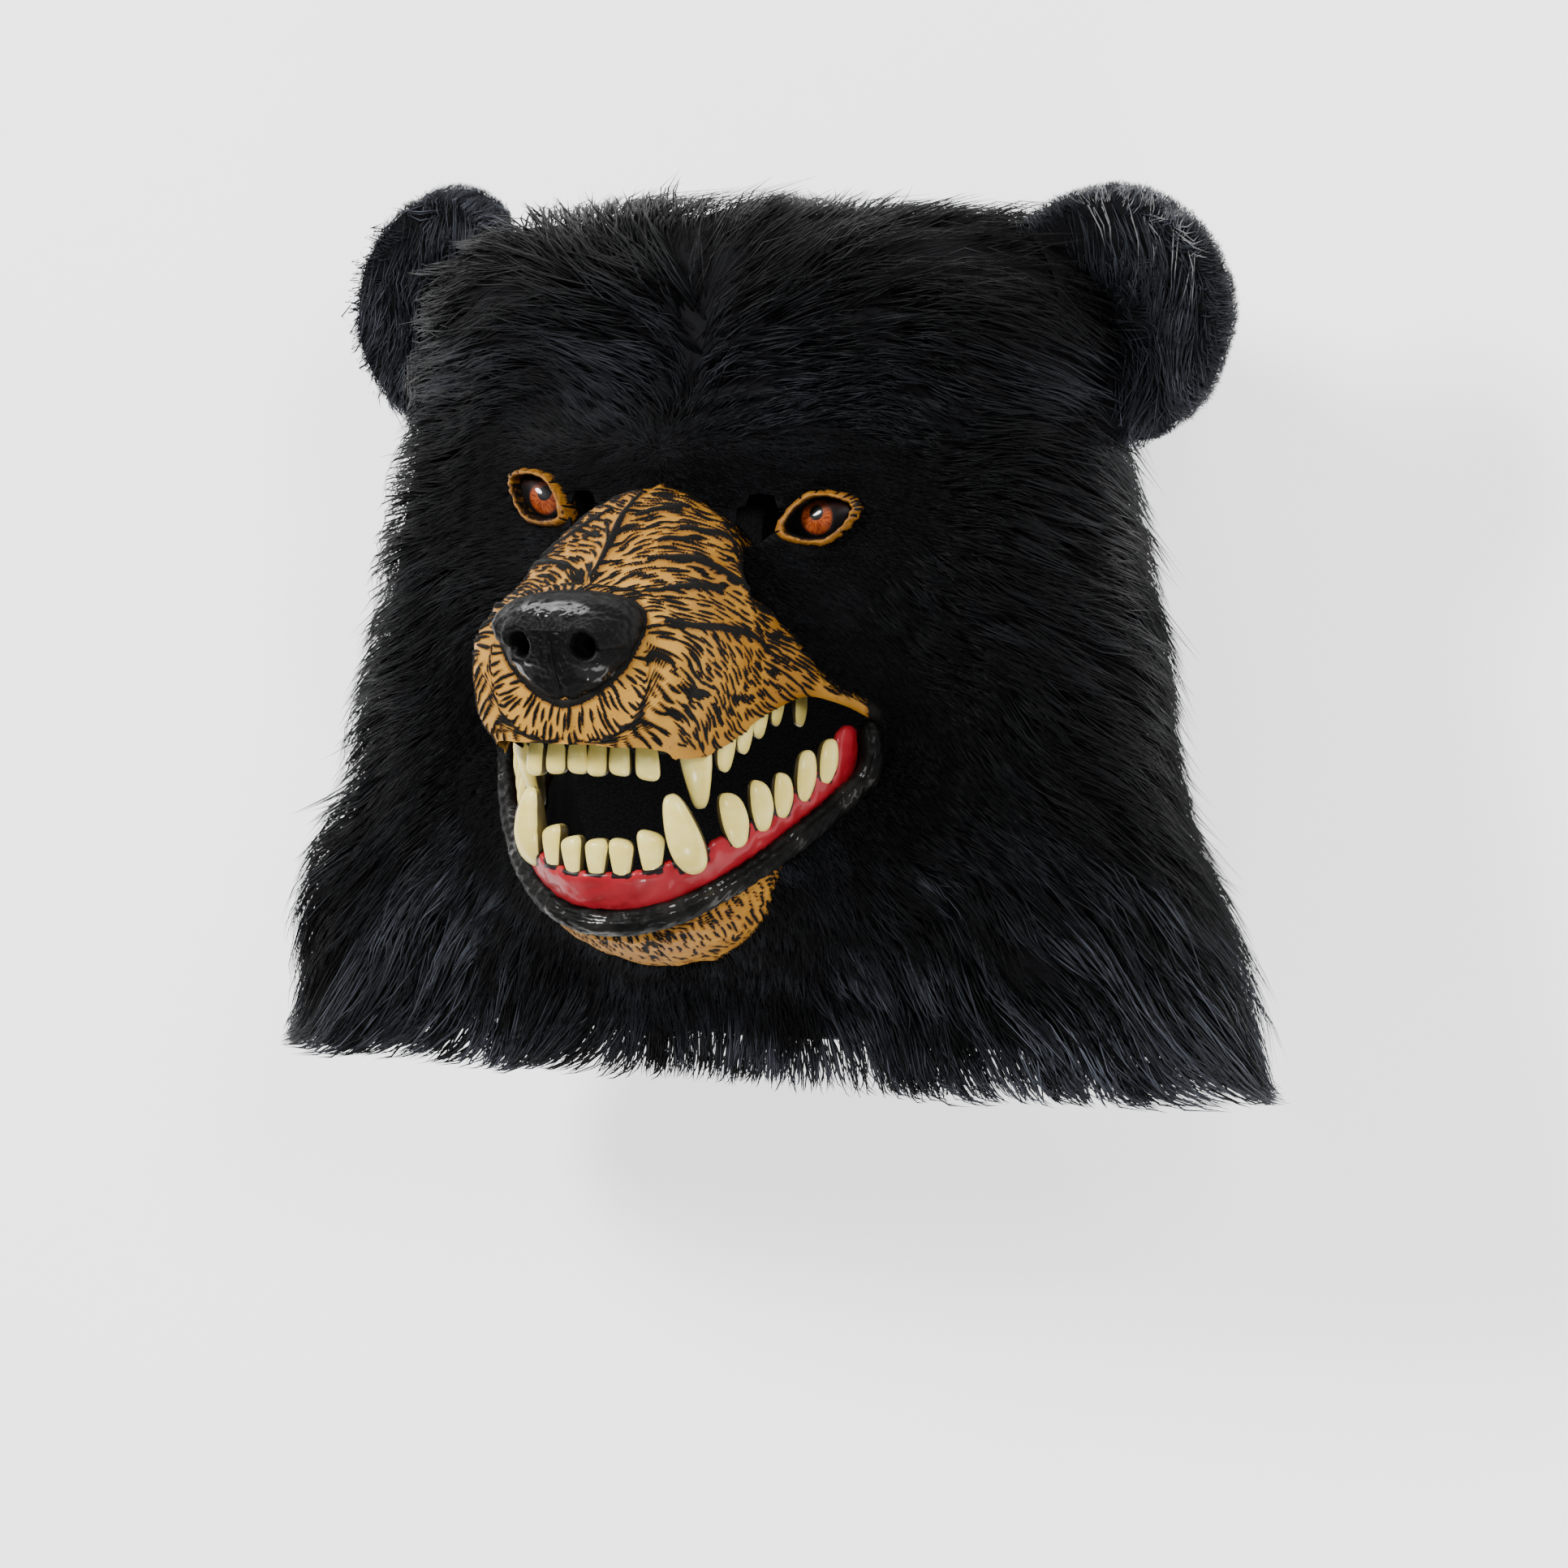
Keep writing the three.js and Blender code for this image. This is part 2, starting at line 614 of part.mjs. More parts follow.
const faceShell = () => {
  const flange = underFur(flangeOutline(0), FUR_OVER_FACE, FLANGE.root);
  const lump = join([
    cut(flange, [slotHole, mirrored(slotHole)]),
    snoutSolid(0, 0),
    surroundSolid(0),
    mirrored(surroundSolid(0)),
  ]);
  const hollow = underFur(flangeOutline(PAST), FUR_OVER_FACE + FLANGE.wall, FLANGE.root - PAST);
  const shell = cut(lump, [snoutSolid(-SHELL_WALL, -SHELL_WALL, SIDES.inside), hollow]);
  const holes = [eyeHole, eyeBall(GAP)].flatMap((hole) => [hole, mirrored(hole)]);
  return largest(cut(join([shell, noseSolid()]), [...holes, belowUpperLip(0), lipSolid(GAP)]));
};

const jawShell = () => {
  const chin = chinSolid(0, 0, 0).subtract(chinSolid(SHELL_WALL, -SHELL_WALL, CHIN_LIFT));
  return largest(join([chin, lipSolid(0)]));
};

const hood = () => {
  const wall = cut(hoodSolid(0, 0, SIDES.hood, ...HOOD_ROWS), [
    hoodSolid(-FUR_WALL, PAST, SIDES.hollow, ...HOLLOW_ROWS),
    underFur(flangeOutline(1), FUR_OVER_FACE - 3 * GAP, FLANGE.root - PAST),
    below(0),
  ]);
  const sides = [slotFurHole, surroundSolid(GAP)].flatMap((hole) => [hole, mirrored(hole)]);
  const middle = [snoutSolid(GAP, GAP), chinSolid(-GAP, GAP, 0), lipSolid(GAP), mouthHole];
  return largest(cut(wall, [...middle, ...sides]));
};

const eye = () => eyeBall(0).subtract(below(EYE.z - EYE.flat));

const upperTeeth = () => {
  const path = count(13, (i) => upperLine((i - 6) / 6));
  const strip = sweep(path, [UPPER_GUM.halfThick, UPPER_GUM.halfHigh], point(0, 1, 0), SIDES.gum);
  const room = join([snoutSolid(-SHELL_WALL - GAP, -SHELL_WALL - GAP, SIDES.inside), belowUpperLip(GAP)]);
  return largest(join([strip, ...toothRow(UPPER_TEETH, upperLine, UPPER_SET)]).intersect(room));
};

const lowerTeeth = () => {
  const path = withCorners(count(11, (i) => lowerLine((i - 5) / 5.4)), GUM_CORNER);
  const strip = sweep(path, [LOWER_GUM.halfThick, LOWER_GUM.halfHigh], point(0, 0.8, 0.6), SIDES.gum);
  const rows = join([strip, ...toothRow(LOWER_TEETH, lowerLine, LOWER_SET)]);
  const wall = chinSolid(-GAP, GAP, 0).subtract(chinSolid(SHELL_WALL + GAP, -SHELL_WALL - GAP, CHIN_LIFT));
  return largest(cut(rows, [lipSolid(GAP), wall]));
};

const mask = new THREE.Group();
const leftEar = earSolid(hoodSolid(GAP, 0, SIDES.hood, ...HOOD_ROWS));
mask.add(
  piece("fur_hood", hood(), FINISHES.fur),
  piece("ear_left", leftEar, FINISHES.fur),
  piece("ear_right", mirrored(leftEar), FINISHES.fur),
  piece("face_shell", faceShell(), FINISHES.mould),
  piece("eye_left", eye(), FINISHES.eye),
  piece("eye_right", mirrored(eye()), FINISHES.eye),
  piece("upper_teeth", upperTeeth(), FINISHES.teeth),
  piece("lower_teeth", lowerTeeth(), FINISHES.gum),
  piece("jaw_shell", jawShell(), FINISHES.mould),
);

export default mask;
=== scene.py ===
import bpy
import numpy as np
from mathutils import Matrix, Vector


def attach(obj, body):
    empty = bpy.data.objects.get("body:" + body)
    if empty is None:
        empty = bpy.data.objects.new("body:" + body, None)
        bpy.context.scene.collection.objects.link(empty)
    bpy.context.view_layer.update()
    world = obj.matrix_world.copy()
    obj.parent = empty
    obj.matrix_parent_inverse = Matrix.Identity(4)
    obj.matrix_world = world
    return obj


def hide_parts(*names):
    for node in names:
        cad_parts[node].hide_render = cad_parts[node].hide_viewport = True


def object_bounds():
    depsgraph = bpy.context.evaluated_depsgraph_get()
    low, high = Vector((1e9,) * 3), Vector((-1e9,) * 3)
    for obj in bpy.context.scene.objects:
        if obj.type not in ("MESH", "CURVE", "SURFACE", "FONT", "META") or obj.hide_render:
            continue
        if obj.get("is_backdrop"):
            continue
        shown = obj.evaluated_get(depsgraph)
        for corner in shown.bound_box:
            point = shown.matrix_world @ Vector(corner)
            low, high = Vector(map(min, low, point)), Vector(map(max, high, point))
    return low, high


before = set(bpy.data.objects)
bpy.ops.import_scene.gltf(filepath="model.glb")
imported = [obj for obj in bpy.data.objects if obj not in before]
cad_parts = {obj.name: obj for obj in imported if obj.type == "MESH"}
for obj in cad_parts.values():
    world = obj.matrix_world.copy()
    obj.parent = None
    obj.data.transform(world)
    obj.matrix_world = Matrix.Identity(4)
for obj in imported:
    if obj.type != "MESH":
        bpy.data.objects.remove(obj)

# Table, daylight and camera.
# The mask lies on its back on a pale table. The camera looks down at it, turned to the bear's right
# and a little above the nose, and three big soft lamps stand round it.
cad_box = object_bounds()

LENS = 132.24
CAMERA_REACH = 2200.0
EYE_LINE = np.array([0.0, 25.0, 225.0])
TURN, DIP, ROLL = np.radians([25.0, 3.0, -1.2])
AIM = np.array([-41.23, 106.02, 0.0])
TABLE_SIZE = 9000.0
LAMPS = (
    ("key_lamp", (-1500.0, 1300.0, 2500.0), 900.0, 134.0),
    ("fill_lamp", (1700.0, 900.0, 2500.0), 900.0, 50.0),
    ("low_lamp", (900.0, -2000.0, 1700.0), 500.0, 24.0),
)


def turned(axis, angle):
    """Rotation matrix about one of the axes X, Y, Z, by the right-hand rule."""
    return np.array(Matrix.Rotation(angle, 3, axis))


def unit(vectors):
    return vectors / np.maximum(np.linalg.norm(vectors, axis=-1, keepdims=True), 1e-9)


def join(*parts):
    """Arrays and single numbers side by side, as the last axis of one array."""
    return np.stack(np.broadcast_arrays(*parts), axis=-1)


class Value:
    """A number that changes over a surface. Sums and products of it add Math nodes to its finish."""

    def __init__(self, finish, socket):
        self.finish = finish
        self.socket = socket

    def maths(self, operation, *values):
        return self.finish.add("ShaderNodeMath", {"operation": operation}, values)

    def __add__(self, other):
        return self.maths("ADD", self, other)

    __radd__ = __add__

    def __mul__(self, other):
        return self.maths("MULTIPLY", self, other)

    __rmul__ = __mul__

    def __sub__(self, other):
        return self.maths("SUBTRACT", self, other)

    def __rsub__(self, other):
        return self.maths("SUBTRACT", other, self)

    def __truediv__(self, other):
        return self.maths("DIVIDE", self, other)

    def __neg__(self):
        return self.maths("MULTIPLY", self, -1.0)

    def __abs__(self):
        return self.maths("ABSOLUTE", self)

    def most(self, other):
        return self.maths("MAXIMUM", self, other)

    def __pow__(self, other):
        return self.maths("POWER", self, other)

    def step(self, low, high):
        """0 at low and 1 at high, with a smooth run between them."""
        settings = {"interpolation_type": "SMOOTHSTEP"}
        return self.finish.add("ShaderNodeMapRange", settings, {0: self, 1: low, 2: high})


class Finish:
    """The look of one kind of surface, built round a single Principled shader."""

    def __init__(self, name, **sockets):
        self.material = bpy.data.materials.new(name)
        self.material.use_nodes = True
        self.tree = self.material.node_tree
        self.shader = self.tree.nodes["Principled BSDF"]
        self.shade(**sockets)

    def fill(self, node, values):
        for key, value in values.items() if isinstance(values, dict) else enumerate(values):
            if isinstance(value, Value):
                self.tree.links.new(value.socket, node.inputs[key])
            else:
                node.inputs[key].default_value = value

    def add(self, kind, settings=None, values=(), output=0):
        node = self.tree.nodes.new(kind)
        for key, value in (settings or {}).items():
            setattr(node, key, value)
        self.fill(node, values)
        return Value(self, node.outputs[output])

    def shade(self, **sockets):
        self.fill(self.shader, {key.replace("_", " "): value for key, value in sockets.items()})

    def object_place(self):
        return self.add("ShaderNodeTexCoord", output=3)

    def chart(self):
        """The two numbers that the piece's own chart gives each of its points."""
        both = self.add("ShaderNodeUVMap", {"uv_map": "chart"})
        return [self.add("ShaderNodeSeparateXYZ", None, (both,), output=i) for i in (0, 1)]

    def at(self, x, y, z=0.0):
        return self.add("ShaderNodeCombineXYZ", None, (x, y, z))

    def noise(self, scale, detail=2.0, roughness=0.5, place=None):
        values = {"Scale": scale, "Detail": detail, "Roughness": roughness}
        return self.add("ShaderNodeTexNoise", None, {"Vector": place or self.object_place(), **values})

    def cells(self, scale):
        return self.add("ShaderNodeTexVoronoi", None, {"Vector": self.object_place(), "Scale": scale})

    def mix(self, share, low, high):
        """Colour between low and high by share."""
        low, high = [v if isinstance(v, Value) else (*v, 1.0) for v in (low, high)]
        return self.add("ShaderNodeMix", {"data_type": "RGBA"}, {0: share, 6: low, 7: high}, output=2)

    def bump(self, height, distance):
        """Normal of a surface with that relief, whose full height is distance in millimetres."""
        return self.add("ShaderNodeBump", None, {"Height": height, "Distance": distance / 1000.0})

    def tone(self):
        """The shade that the mesh gives each of its points."""
        return self.add("ShaderNodeAttribute", {"attribute_name": "tone"}, output=2)


def linked(name, data):
    """Object that puts a mesh, lamp or camera into the scene."""
    made = bpy.data.objects.new(name, data)
    bpy.context.collection.objects.link(made)
    return made


def surface(name, points, faces, finish, chart=None, tone=None):
    """Mesh object from points in millimetres and arrays of three- or four-cornered faces."""
    mesh = bpy.data.meshes.new(name)
    points = points.reshape(-1, 3)
    faces = faces if isinstance(faces, (list, tuple)) else [faces]
    corners = np.concatenate([f.ravel() for f in faces]).astype(np.int32)
    sizes = np.concatenate([np.full(len(f), f.shape[1]) for f in faces])
    starts = np.concatenate([[0], np.cumsum(sizes)[:-1]]).astype(np.int32)
    mesh.vertices.add(len(points))
    mesh.vertices.foreach_set("co", (points / 1000.0).astype(np.float32).ravel())
    mesh.loops.add(len(corners))
    mesh.loops.foreach_set("vertex_index", corners)
    mesh.polygons.add(len(sizes))
    mesh.polygons.foreach_set("loop_start", starts)
    mesh.update(calc_edges=True)
    if chart is not None:
        layer = mesh.uv_layers.new(name="chart")
        layer.data.foreach_set("uv", chart.reshape(-1, 2)[corners].astype(np.float32).ravel())
    if tone is not None:
        layer = mesh.attributes.new("tone", "FLOAT", "POINT")
        layer.data.foreach_set("value", tone.astype(np.float32).ravel())
    mesh.shade_smooth()
    mesh.materials.append(finish.material)
    return linked(name, mesh)


table_finish = Finish("table_paint", Roughness=0.55, Specular_IOR_Level=0.3, Emission_Strength=1.6)
table_finish.shade(Emission_Color=(1.0, 1.0, 1.0, 1.0))
table_grain = table_finish.noise(60.0, 3.0)
table_finish.shade(
    Base_Color=table_finish.mix(table_grain, (0.86, 0.86, 0.86), (0.9, 0.9, 0.9)),
    Normal=table_finish.bump(table_grain, 0.02),
)
corner = np.array([[-1, -1, 0], [1, -1, 0], [1, 1, 0], [-1, 1, 0]]) * TABLE_SIZE / 2
table = surface("table_top", corner, np.array([[0, 1, 2, 3]]), table_finish)
table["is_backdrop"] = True

for name, place, size, watts in LAMPS:
    lamp = bpy.data.lights.new(name, "AREA")
    lamp.shape = "DISK"
    lamp.size = size / 1000.0
    lamp.energy = watts
    back = unit(np.array(place) - EYE_LINE * (1, 1, 0.5))
    side = unit(np.cross((0.0, 1.0, 0.0), back))
    turn = Matrix(join(side, np.cross(back, side), back))
    linked(name, lamp).matrix_world = Matrix.LocRotScale(np.array(place) / 1000.0, turn, None)

room = bpy.data.worlds.new("room")
room.use_nodes = True
sky = room.node_tree.nodes["Background"].inputs
sky["Color"].default_value = (1.0, 1.0, 1.0, 1.0)
sky["Strength"].default_value = 0.28
bpy.context.scene.world = room

look = turned("Z", ROLL) @ turned("X", DIP) @ turned("Y", -TURN)
camera = bpy.data.cameras.new("camera")
camera.lens = LENS
camera.sensor_width = 36.0
camera.clip_start = 0.1
camera.clip_end = 20.0
camera_object = linked("camera", camera)
camera_place = look.T @ (np.array([0.0, 0.0, CAMERA_REACH]) - AIM) + EYE_LINE
camera_object.matrix_world = Matrix.LocRotScale(camera_place / 1000.0, Matrix(look.T), None)
bpy.context.scene.camera = camera_object

# Fur hood.
# A closed bag of black pile fabric over a cloth lining, sewn to fit over the whole head, with a drape that
# falls round the neck. The face pieces are set into its front, and the pile is clipped short round them.
HOOD = (
    (-185, 204, 200, -6, 138),
    (-155, 203, 206, -6, 146),
    (-125, 194, 211, -6, 152),
    (-95, 178, 214, -6, 156),
    (-62, 170, 216, -6, 158),
    (-31, 166, 219, -6, 158),
    (33, 153, 222, -6, 158),
    (60, 147, 222, -6, 155),
)
HEM, TEMPLE, CROWN_TOP, CROWN_DEPTH = -185.0, 60.0, 145.0, 132.0
FRONT_POWER, BACK_POWER, CROWN_POWER = 2.3, 1.8, 4.0
SWELLINGS = (
    (0, -15, 28, 62, 52),
    (0, -112, 44, 74, 38),
    (0, 48, 12, 26, 16),
    (40, 50, 11, 30, 13),
    (-40, 50, 11, 30, 13),
    (82, -64, -14, 16, 15),
    (-82, -64, -14, 16, 15),
)
SNOUT = (
    (190, 84, 33, -50, -110, 1.15, 2.2),
    (210, 79, 33, -50, -105, 1.15, 2.2),
    (226, 60, 32, -44, -100, 1.5, 2.2),
    (240, 50, 32, -36, -95, 1.9, 2.3),
    (255, 48, 28, -30, -90, 2.0, 2.4),
    (272, 48, 19, -30, -84, 1.85, 2.5),
    (286, 48, 7, -31, -81, 2.0, 2.5),
    (299, 46, -4, -32, -76, 2.1, 2.5),
)
PINCH, PINCH_Y, PINCH_SPREAD = 0.21, -3.0, 11.0
CHIN = (
    (190, 62, -80, -148),
    (210, 60, -80, -150.5),
    (226, 56, -93, -150.5),
    (240, 51, -104, -148.5),
    (252, 43, -114, -144),
    (262, 31, -123, -139.5),
    (269, 14, -130, -136),
)
CHIN_POWER = 2.1
JAW_HALF, JAW_FRONT, JAW_RISE, JAW_OUT, JAW_RUN, JAW_POWER = 77.0, -131.5, 56.0, 277.0, 66.0, 2.1
LIP_CORNER = ((79, -67, 209), (78, -60, 210.5), (75, -54.5, 213))
EYE_OVAL = (60.8, 24.0, 18.2, 10.8, 20.0, 1.55)
EYE_MIDDLE, EYE_LEAN = np.array([61.0, 24.0, 228.0]), np.radians(14.0)
# shift sideways and up, and further tilt, of the bear's left eye and of its right one
EYE_SETTINGS = np.array([(-1.3, -2.2, 0.0), (-1.7, 3.1, np.radians(10.0))])
SLOT_OVAL = (37.0, 20.5, 7.0, 10.5, -18.0, 2.0)
BEAD_COVER = 3.0
FLOOR_CLEAR = 0.4
FACE_FROM, CROWN_WEIGHT = 150.0, 0.8


def split(table):
    """The values along the last axis, each as an array of its own: x, y and z of points, for one."""
    return np.moveaxis(table, -1, 0)


def circle(count):
    """Equal steps of angle, once round."""
    return np.arange(count) / count * 2 * np.pi


def grid(rows, columns):
    """A row's value and a column's value for every place in a grid."""
    return np.meshgrid(rows, columns, indexing="ij")


def between(table, place):
    """Rows of a table of stations at a place: a cubic between stations, with their neighbours' slopes."""
    table = np.asarray(table, dtype=float)
    at, rows = table[:, 0], table[:, 1:]
    last = len(at) - 1
    low = np.maximum(np.arange(last + 1) - 1, 0)
    high = np.minimum(np.arange(last + 1) + 1, last)
    slope = (rows[high] - rows[low]) / (at[high] - at[low])[:, None]
    place = np.asarray(place, dtype=float)
    i = np.clip(np.searchsorted(at, place, side="right") - 1, 0, last - 1)
    span = (at[i + 1] - at[i])[..., None]
    t = np.clip((place - at[i])[..., None] / span, 0, 1)
    bend = (slope[i] * (1 - t) - slope[i + 1] * t) * t * (1 - t)
    return rows[i] + (rows[i + 1] - rows[i]) * t * t * (3 - 2 * t) + bend * span


def squared(value, power):
    """Sine or cosine raised to the power that squares a circle off."""
    return np.sign(value) * np.abs(value) ** (2 / power)


def ease(value, low, high):
    """0 below low, 1 above high and the smooth cubic between them."""
    t = np.clip((value - low) / (high - low), 0, 1)
    return t * t * (3 - 2 * t)


def bell(value):
    """Smooth hump, 1 at 0 and nearly 0 from 2 on: e to the power of minus the value squared."""
    return np.exp(-(value**2))


def oval_share(u, v, power):
    """How far out u, v is in a squared oval, 1 on its edge: (|u|^power + |v|^power)^(1/power)."""
    return (abs(u) ** power + abs(v) ** power) ** (1 / power)


def edge_gap(x, y, share):
    """Distance from the edge where share is 1, less than 0 inside it: |x, y| times (1 - 1/share)."""
    return np.hypot(x, y) * (1 - 1 / np.maximum(share, 1e-6))


def oval_axes(x, y, oval):
    """Place along and across a turned oval, from its middle."""
    middle_x, middle_y, _, _, tilt, _ = oval
    c, s = np.cos(np.radians(tilt)), np.sin(np.radians(tilt))
    return (x - middle_x) * c + (y - middle_y) * s, (y - middle_y) * c - (x - middle_x) * s


def waves(points, size, seed, count=5):
    """Smooth unevenness from about -1 to 1: a sum of sines that run in random directions."""
    rng = np.random.default_rng(seed)
    ways = unit(rng.normal(size=(count, 3))) * rng.uniform(0.6, 1.7, (count, 1)) * 2 * np.pi / size
    phase = rng.uniform(0, 2 * np.pi, count)
    return np.sin(points @ ways.T + phase).sum(axis=-1) / np.sqrt(2 * count)


def jaw_line(s):
    """Line of the lower lip: sideways with s, rising and running back with a power of s."""
    q = np.abs(s) ** JAW_POWER
    return join(JAW_HALF * s, JAW_FRONT + JAW_RISE * q, JAW_OUT - JAW_RUN * q)


def with_corners(middle, corner):
    """A line of the mouth carried on round both its corners."""
    left = np.asarray(corner, dtype=float)
    return np.concatenate([(left * (-1, 1, 1))[::-1], middle, left])


def oval_gap(x, y, oval):
    """Distance from a turned squared oval, less than 0 inside it."""
    u, v = oval_axes(x, y, oval)
    return edge_gap(u, v, oval_share(u / oval[2], v / oval[3], oval[5]))


def outline_gap(x, y, outline):
    """Distance from a closed outline of straight lines, less than 0 inside it."""
    a, b = outline, np.roll(outline, -1, axis=0)
    p = join(x, y)[..., None, :]
    t = np.clip(((p - a) * (b - a)).sum(-1) / ((b - a) ** 2).sum(-1), 0, 1)
    away = np.linalg.norm(p - a - t[..., None] * (b - a), axis=-1).min(axis=-1)
    crosses = (a[:, 1] > p[..., 1]) != (b[:, 1] > p[..., 1])
    edge_x = a[:, 0] + (p[..., 1] - a[:, 1]) / (b[:, 1] - a[:, 1] + 1e-12) * (b[:, 0] - a[:, 0])
    inside = (crosses & (p[..., 0] < edge_x)).sum(-1) % 2 == 1
    return np.where(inside, -away, away)


def eye_chart(x, y):
    """Place in the flat chart of the eye on that side: both lean outwards, each with its shift and tilt."""
    shift_x, shift_y, tilt = split(EYE_SETTINGS[(x < 0).astype(int)])
    u = (np.abs(x) - EYE_MIDDLE[0] - shift_x) / np.cos(EYE_LEAN)
    v = y - EYE_MIDDLE[1] - shift_y
    c, s = np.cos(tilt), np.sin(tilt)
    return EYE_MIDDLE[0] + u * c + v * s, EYE_MIDDLE[1] + v * c - u * s


def pinched(y, z):
    """Share of the muzzle's width that is left beside the bridge, where it is drawn in next to the hood."""
    return 1 - PINCH * bell((y - PINCH_Y) / PINCH_SPREAD) * (1 - ease(z, 232, 256))


def face_gap(points):
    """Distance on the front of the hood from the nearest hole for a face piece."""
    x, y, z = split(points)
    half, top, mid, low, up, down = split(between(SNOUT, z))
    tall, power = np.where(y > mid, (top - mid, up), (mid - low, down))
    snout = edge_gap(x, y - mid, oval_share(x / half / pinched(y, z), (y - mid) / tall, power))
    half, edge, low = split(between(CHIN, z))
    under = np.minimum(y - edge, 0)
    bowl = edge_gap(x, under, oval_share(x / half, under / (edge - low), CHIN_POWER))
    chin = np.where(y > edge, np.hypot(np.maximum(bowl, 0), np.maximum(y - LIP_CORNER[0][1], 0)), bowl)
    mouth = outline_gap(abs(x), y, with_corners(jaw_line(np.linspace(-1, 1, 17)), LIP_CORNER)[:, :2])
    eye = oval_gap(*eye_chart(x, y), EYE_OVAL)
    gaps = [snout, chin, mouth - BEAD_COVER, eye, oval_gap(abs(x), y, SLOT_OVAL)]
    return np.where(z > FACE_FROM, np.min(gaps, axis=0), 999.0)


def hood_levels():
    """Equal steps of length up the side of the hood, as a table from 0 to 1 of the way to the level."""
    level = np.linspace(0, 2, 4001)
    y, share = hood_rise(level)
    steps = np.hypot(np.diff(y), np.diff(share) * CROWN_WEIGHT * CROWN_DEPTH)
    way = np.concatenate([[0], np.cumsum(steps)])
    return way / way[-1], level


def hood_rise(level):
    """Height, and share of the temple's size, at a level: hem 0, temple 1, crown 2."""
    t = np.clip(level - 1, 0, 1)
    angle = np.pi / 2 * t * t * (3 - 2 * t)
    y = HEM + (TEMPLE - HEM) * np.minimum(level, 1)
    y = y + (CROWN_TOP - TEMPLE) * squared(np.sin(angle), CROWN_POWER)
    return y, squared(np.maximum(np.cos(angle), 0), CROWN_POWER)


HOOD_WAY, HOOD_LEVEL = hood_levels()
HOOD_LENGTH = 400.0
HEM_HANG = 16.0
FRINGE_FROM, FRINGE_REACH = -188.0, 14.0


def hood_section(y, share):
    """Half width, front, back and widest place of the hood at a height, drawn in above the temples."""
    half, *depths = split(between(HOOD, np.minimum(y, TEMPLE)))
    return half * share, *[CROWN_DEPTH + (depth - CROWN_DEPTH) * share for depth in depths]


def hood_form(v, a):
    """Outside of the pile: a squared oval at each height, with the swellings of the face on its front."""
    y, share = hood_rise(np.interp(v, HOOD_WAY, HOOD_LEVEL))
    y = y - HEM_HANG * np.tanh(np.maximum(-v, 0) * HOOD_LENGTH / HEM_HANG)
    half, front, back, wide = hood_section(y, share)
    forward = np.cos(a) > 0
    power = np.where(forward, FRONT_POWER, BACK_POWER)
    x = half * squared(np.sin(a), power)
    reach = squared(np.cos(a), power)
    swell = sum(rise * bell((x - sx) / wx) * bell((y - sy) / wy) for sx, sy, rise, wx, wy in SWELLINGS)
    z = wide + reach * np.where(forward, front - wide + swell, wide - back)
    return join(x, y, z)


CREASE_DEPTH, CREASE_WIDTH = 5.0, 7.0
LUMP_HEIGHT, LUMP_SIZE = 2.2, 70.0


def hood_relief(points):
    """The crease up the forehead, and soft lumps of the stuffing away from the face."""
    x, y, z = split(points)
    crease = bell(x / CREASE_WIDTH) * ease(y, 50, 75) * ease(z, 140, 190)
    away = ease(np.hypot(x, y + 30), 90, 150)
    return LUMP_HEIGHT * waves(points, LUMP_SIZE, 3) * away - CREASE_DEPTH * crease


LOWEST_V, HIGHEST_V, DRIFT_FLOOR = -1.0, 0.985, 0.15


class Pelt:
    """A furred surface: form gives a place for v along it and a round it, and relief raises it."""

    def __init__(self, form, relief):
        self.form = form
        self.relief = relief

    def slopes(self, v, a):
        e = 1e-3
        up = np.minimum(v + e, 1)
        down = v - e
        along = (self.form(up, a) - self.form(down, a)) / (up - down)[..., None]
        across = (self.form(v, a + e) - self.form(v, a - e)) / (2 * e)
        return along, across, unit(np.cross(across, along))

    def place(self, v, a, depth=0.0):
        """Point at a depth below the outside of the pile, with the surface's outward way there."""
        points = self.form(v, a)
        normal = self.slopes(v, a)[2]
        return points + normal * (self.relief(points) - depth)[..., None], normal

    def points(self, v, a, depth=0.0):
        return self.place(v, a, depth)[0]

    def drift(self, v, a, way, length):
        """Step of a length over the surface, in the way's own direction as far as the surface allows."""
        along, across, _ = self.slopes(v, a)
        aa, cc, ac = (along**2).sum(-1), (across**2).sum(-1), (along * across).sum(-1)
        wa, wc = (along * way).sum(-1), (across * way).sum(-1)
        share = np.maximum(aa * cc - ac * ac, 1e-6)
        dv, da = (cc * wa - ac * wc) / share, (aa * wc - ac * wa) / share
        size = np.linalg.norm(along * dv[..., None] + across * da[..., None], axis=-1)
        scale = length / np.maximum(size, DRIFT_FLOOR)
        return np.clip(v + dv * scale, LOWEST_V, HIGHEST_V), a + da * scale

    def roots(self, rng, density, v_range, a_range, cells):
        """Random places on the surface, as many to the square millimetre as density says."""
        v = np.linspace(*v_range, cells[0] + 1)
        a = np.linspace(*a_range, cells[1] + 1)
        v, a = grid((v[1:] + v[:-1]) / 2, (a[1:] + a[:-1]) / 2)
        v, a = v.ravel(), a.ravel()
        along, across, _ = self.slopes(v, a)
        steps = (v_range[1] - v_range[0]) / cells[0], (a_range[1] - a_range[0]) / cells[1]
        area = np.linalg.norm(np.cross(along, across), axis=-1) * steps[0] * steps[1]
        weight = area * density(self.points(v, a))
        chosen = rng.choice(len(v), int(weight.sum()), p=weight / weight.sum())
        shift = rng.uniform(-0.5, 0.5, (2, len(chosen)))
        return np.clip(v[chosen] + shift[0] * steps[0], 0.002, HIGHEST_V), a[chosen] + shift[1] * steps[1]


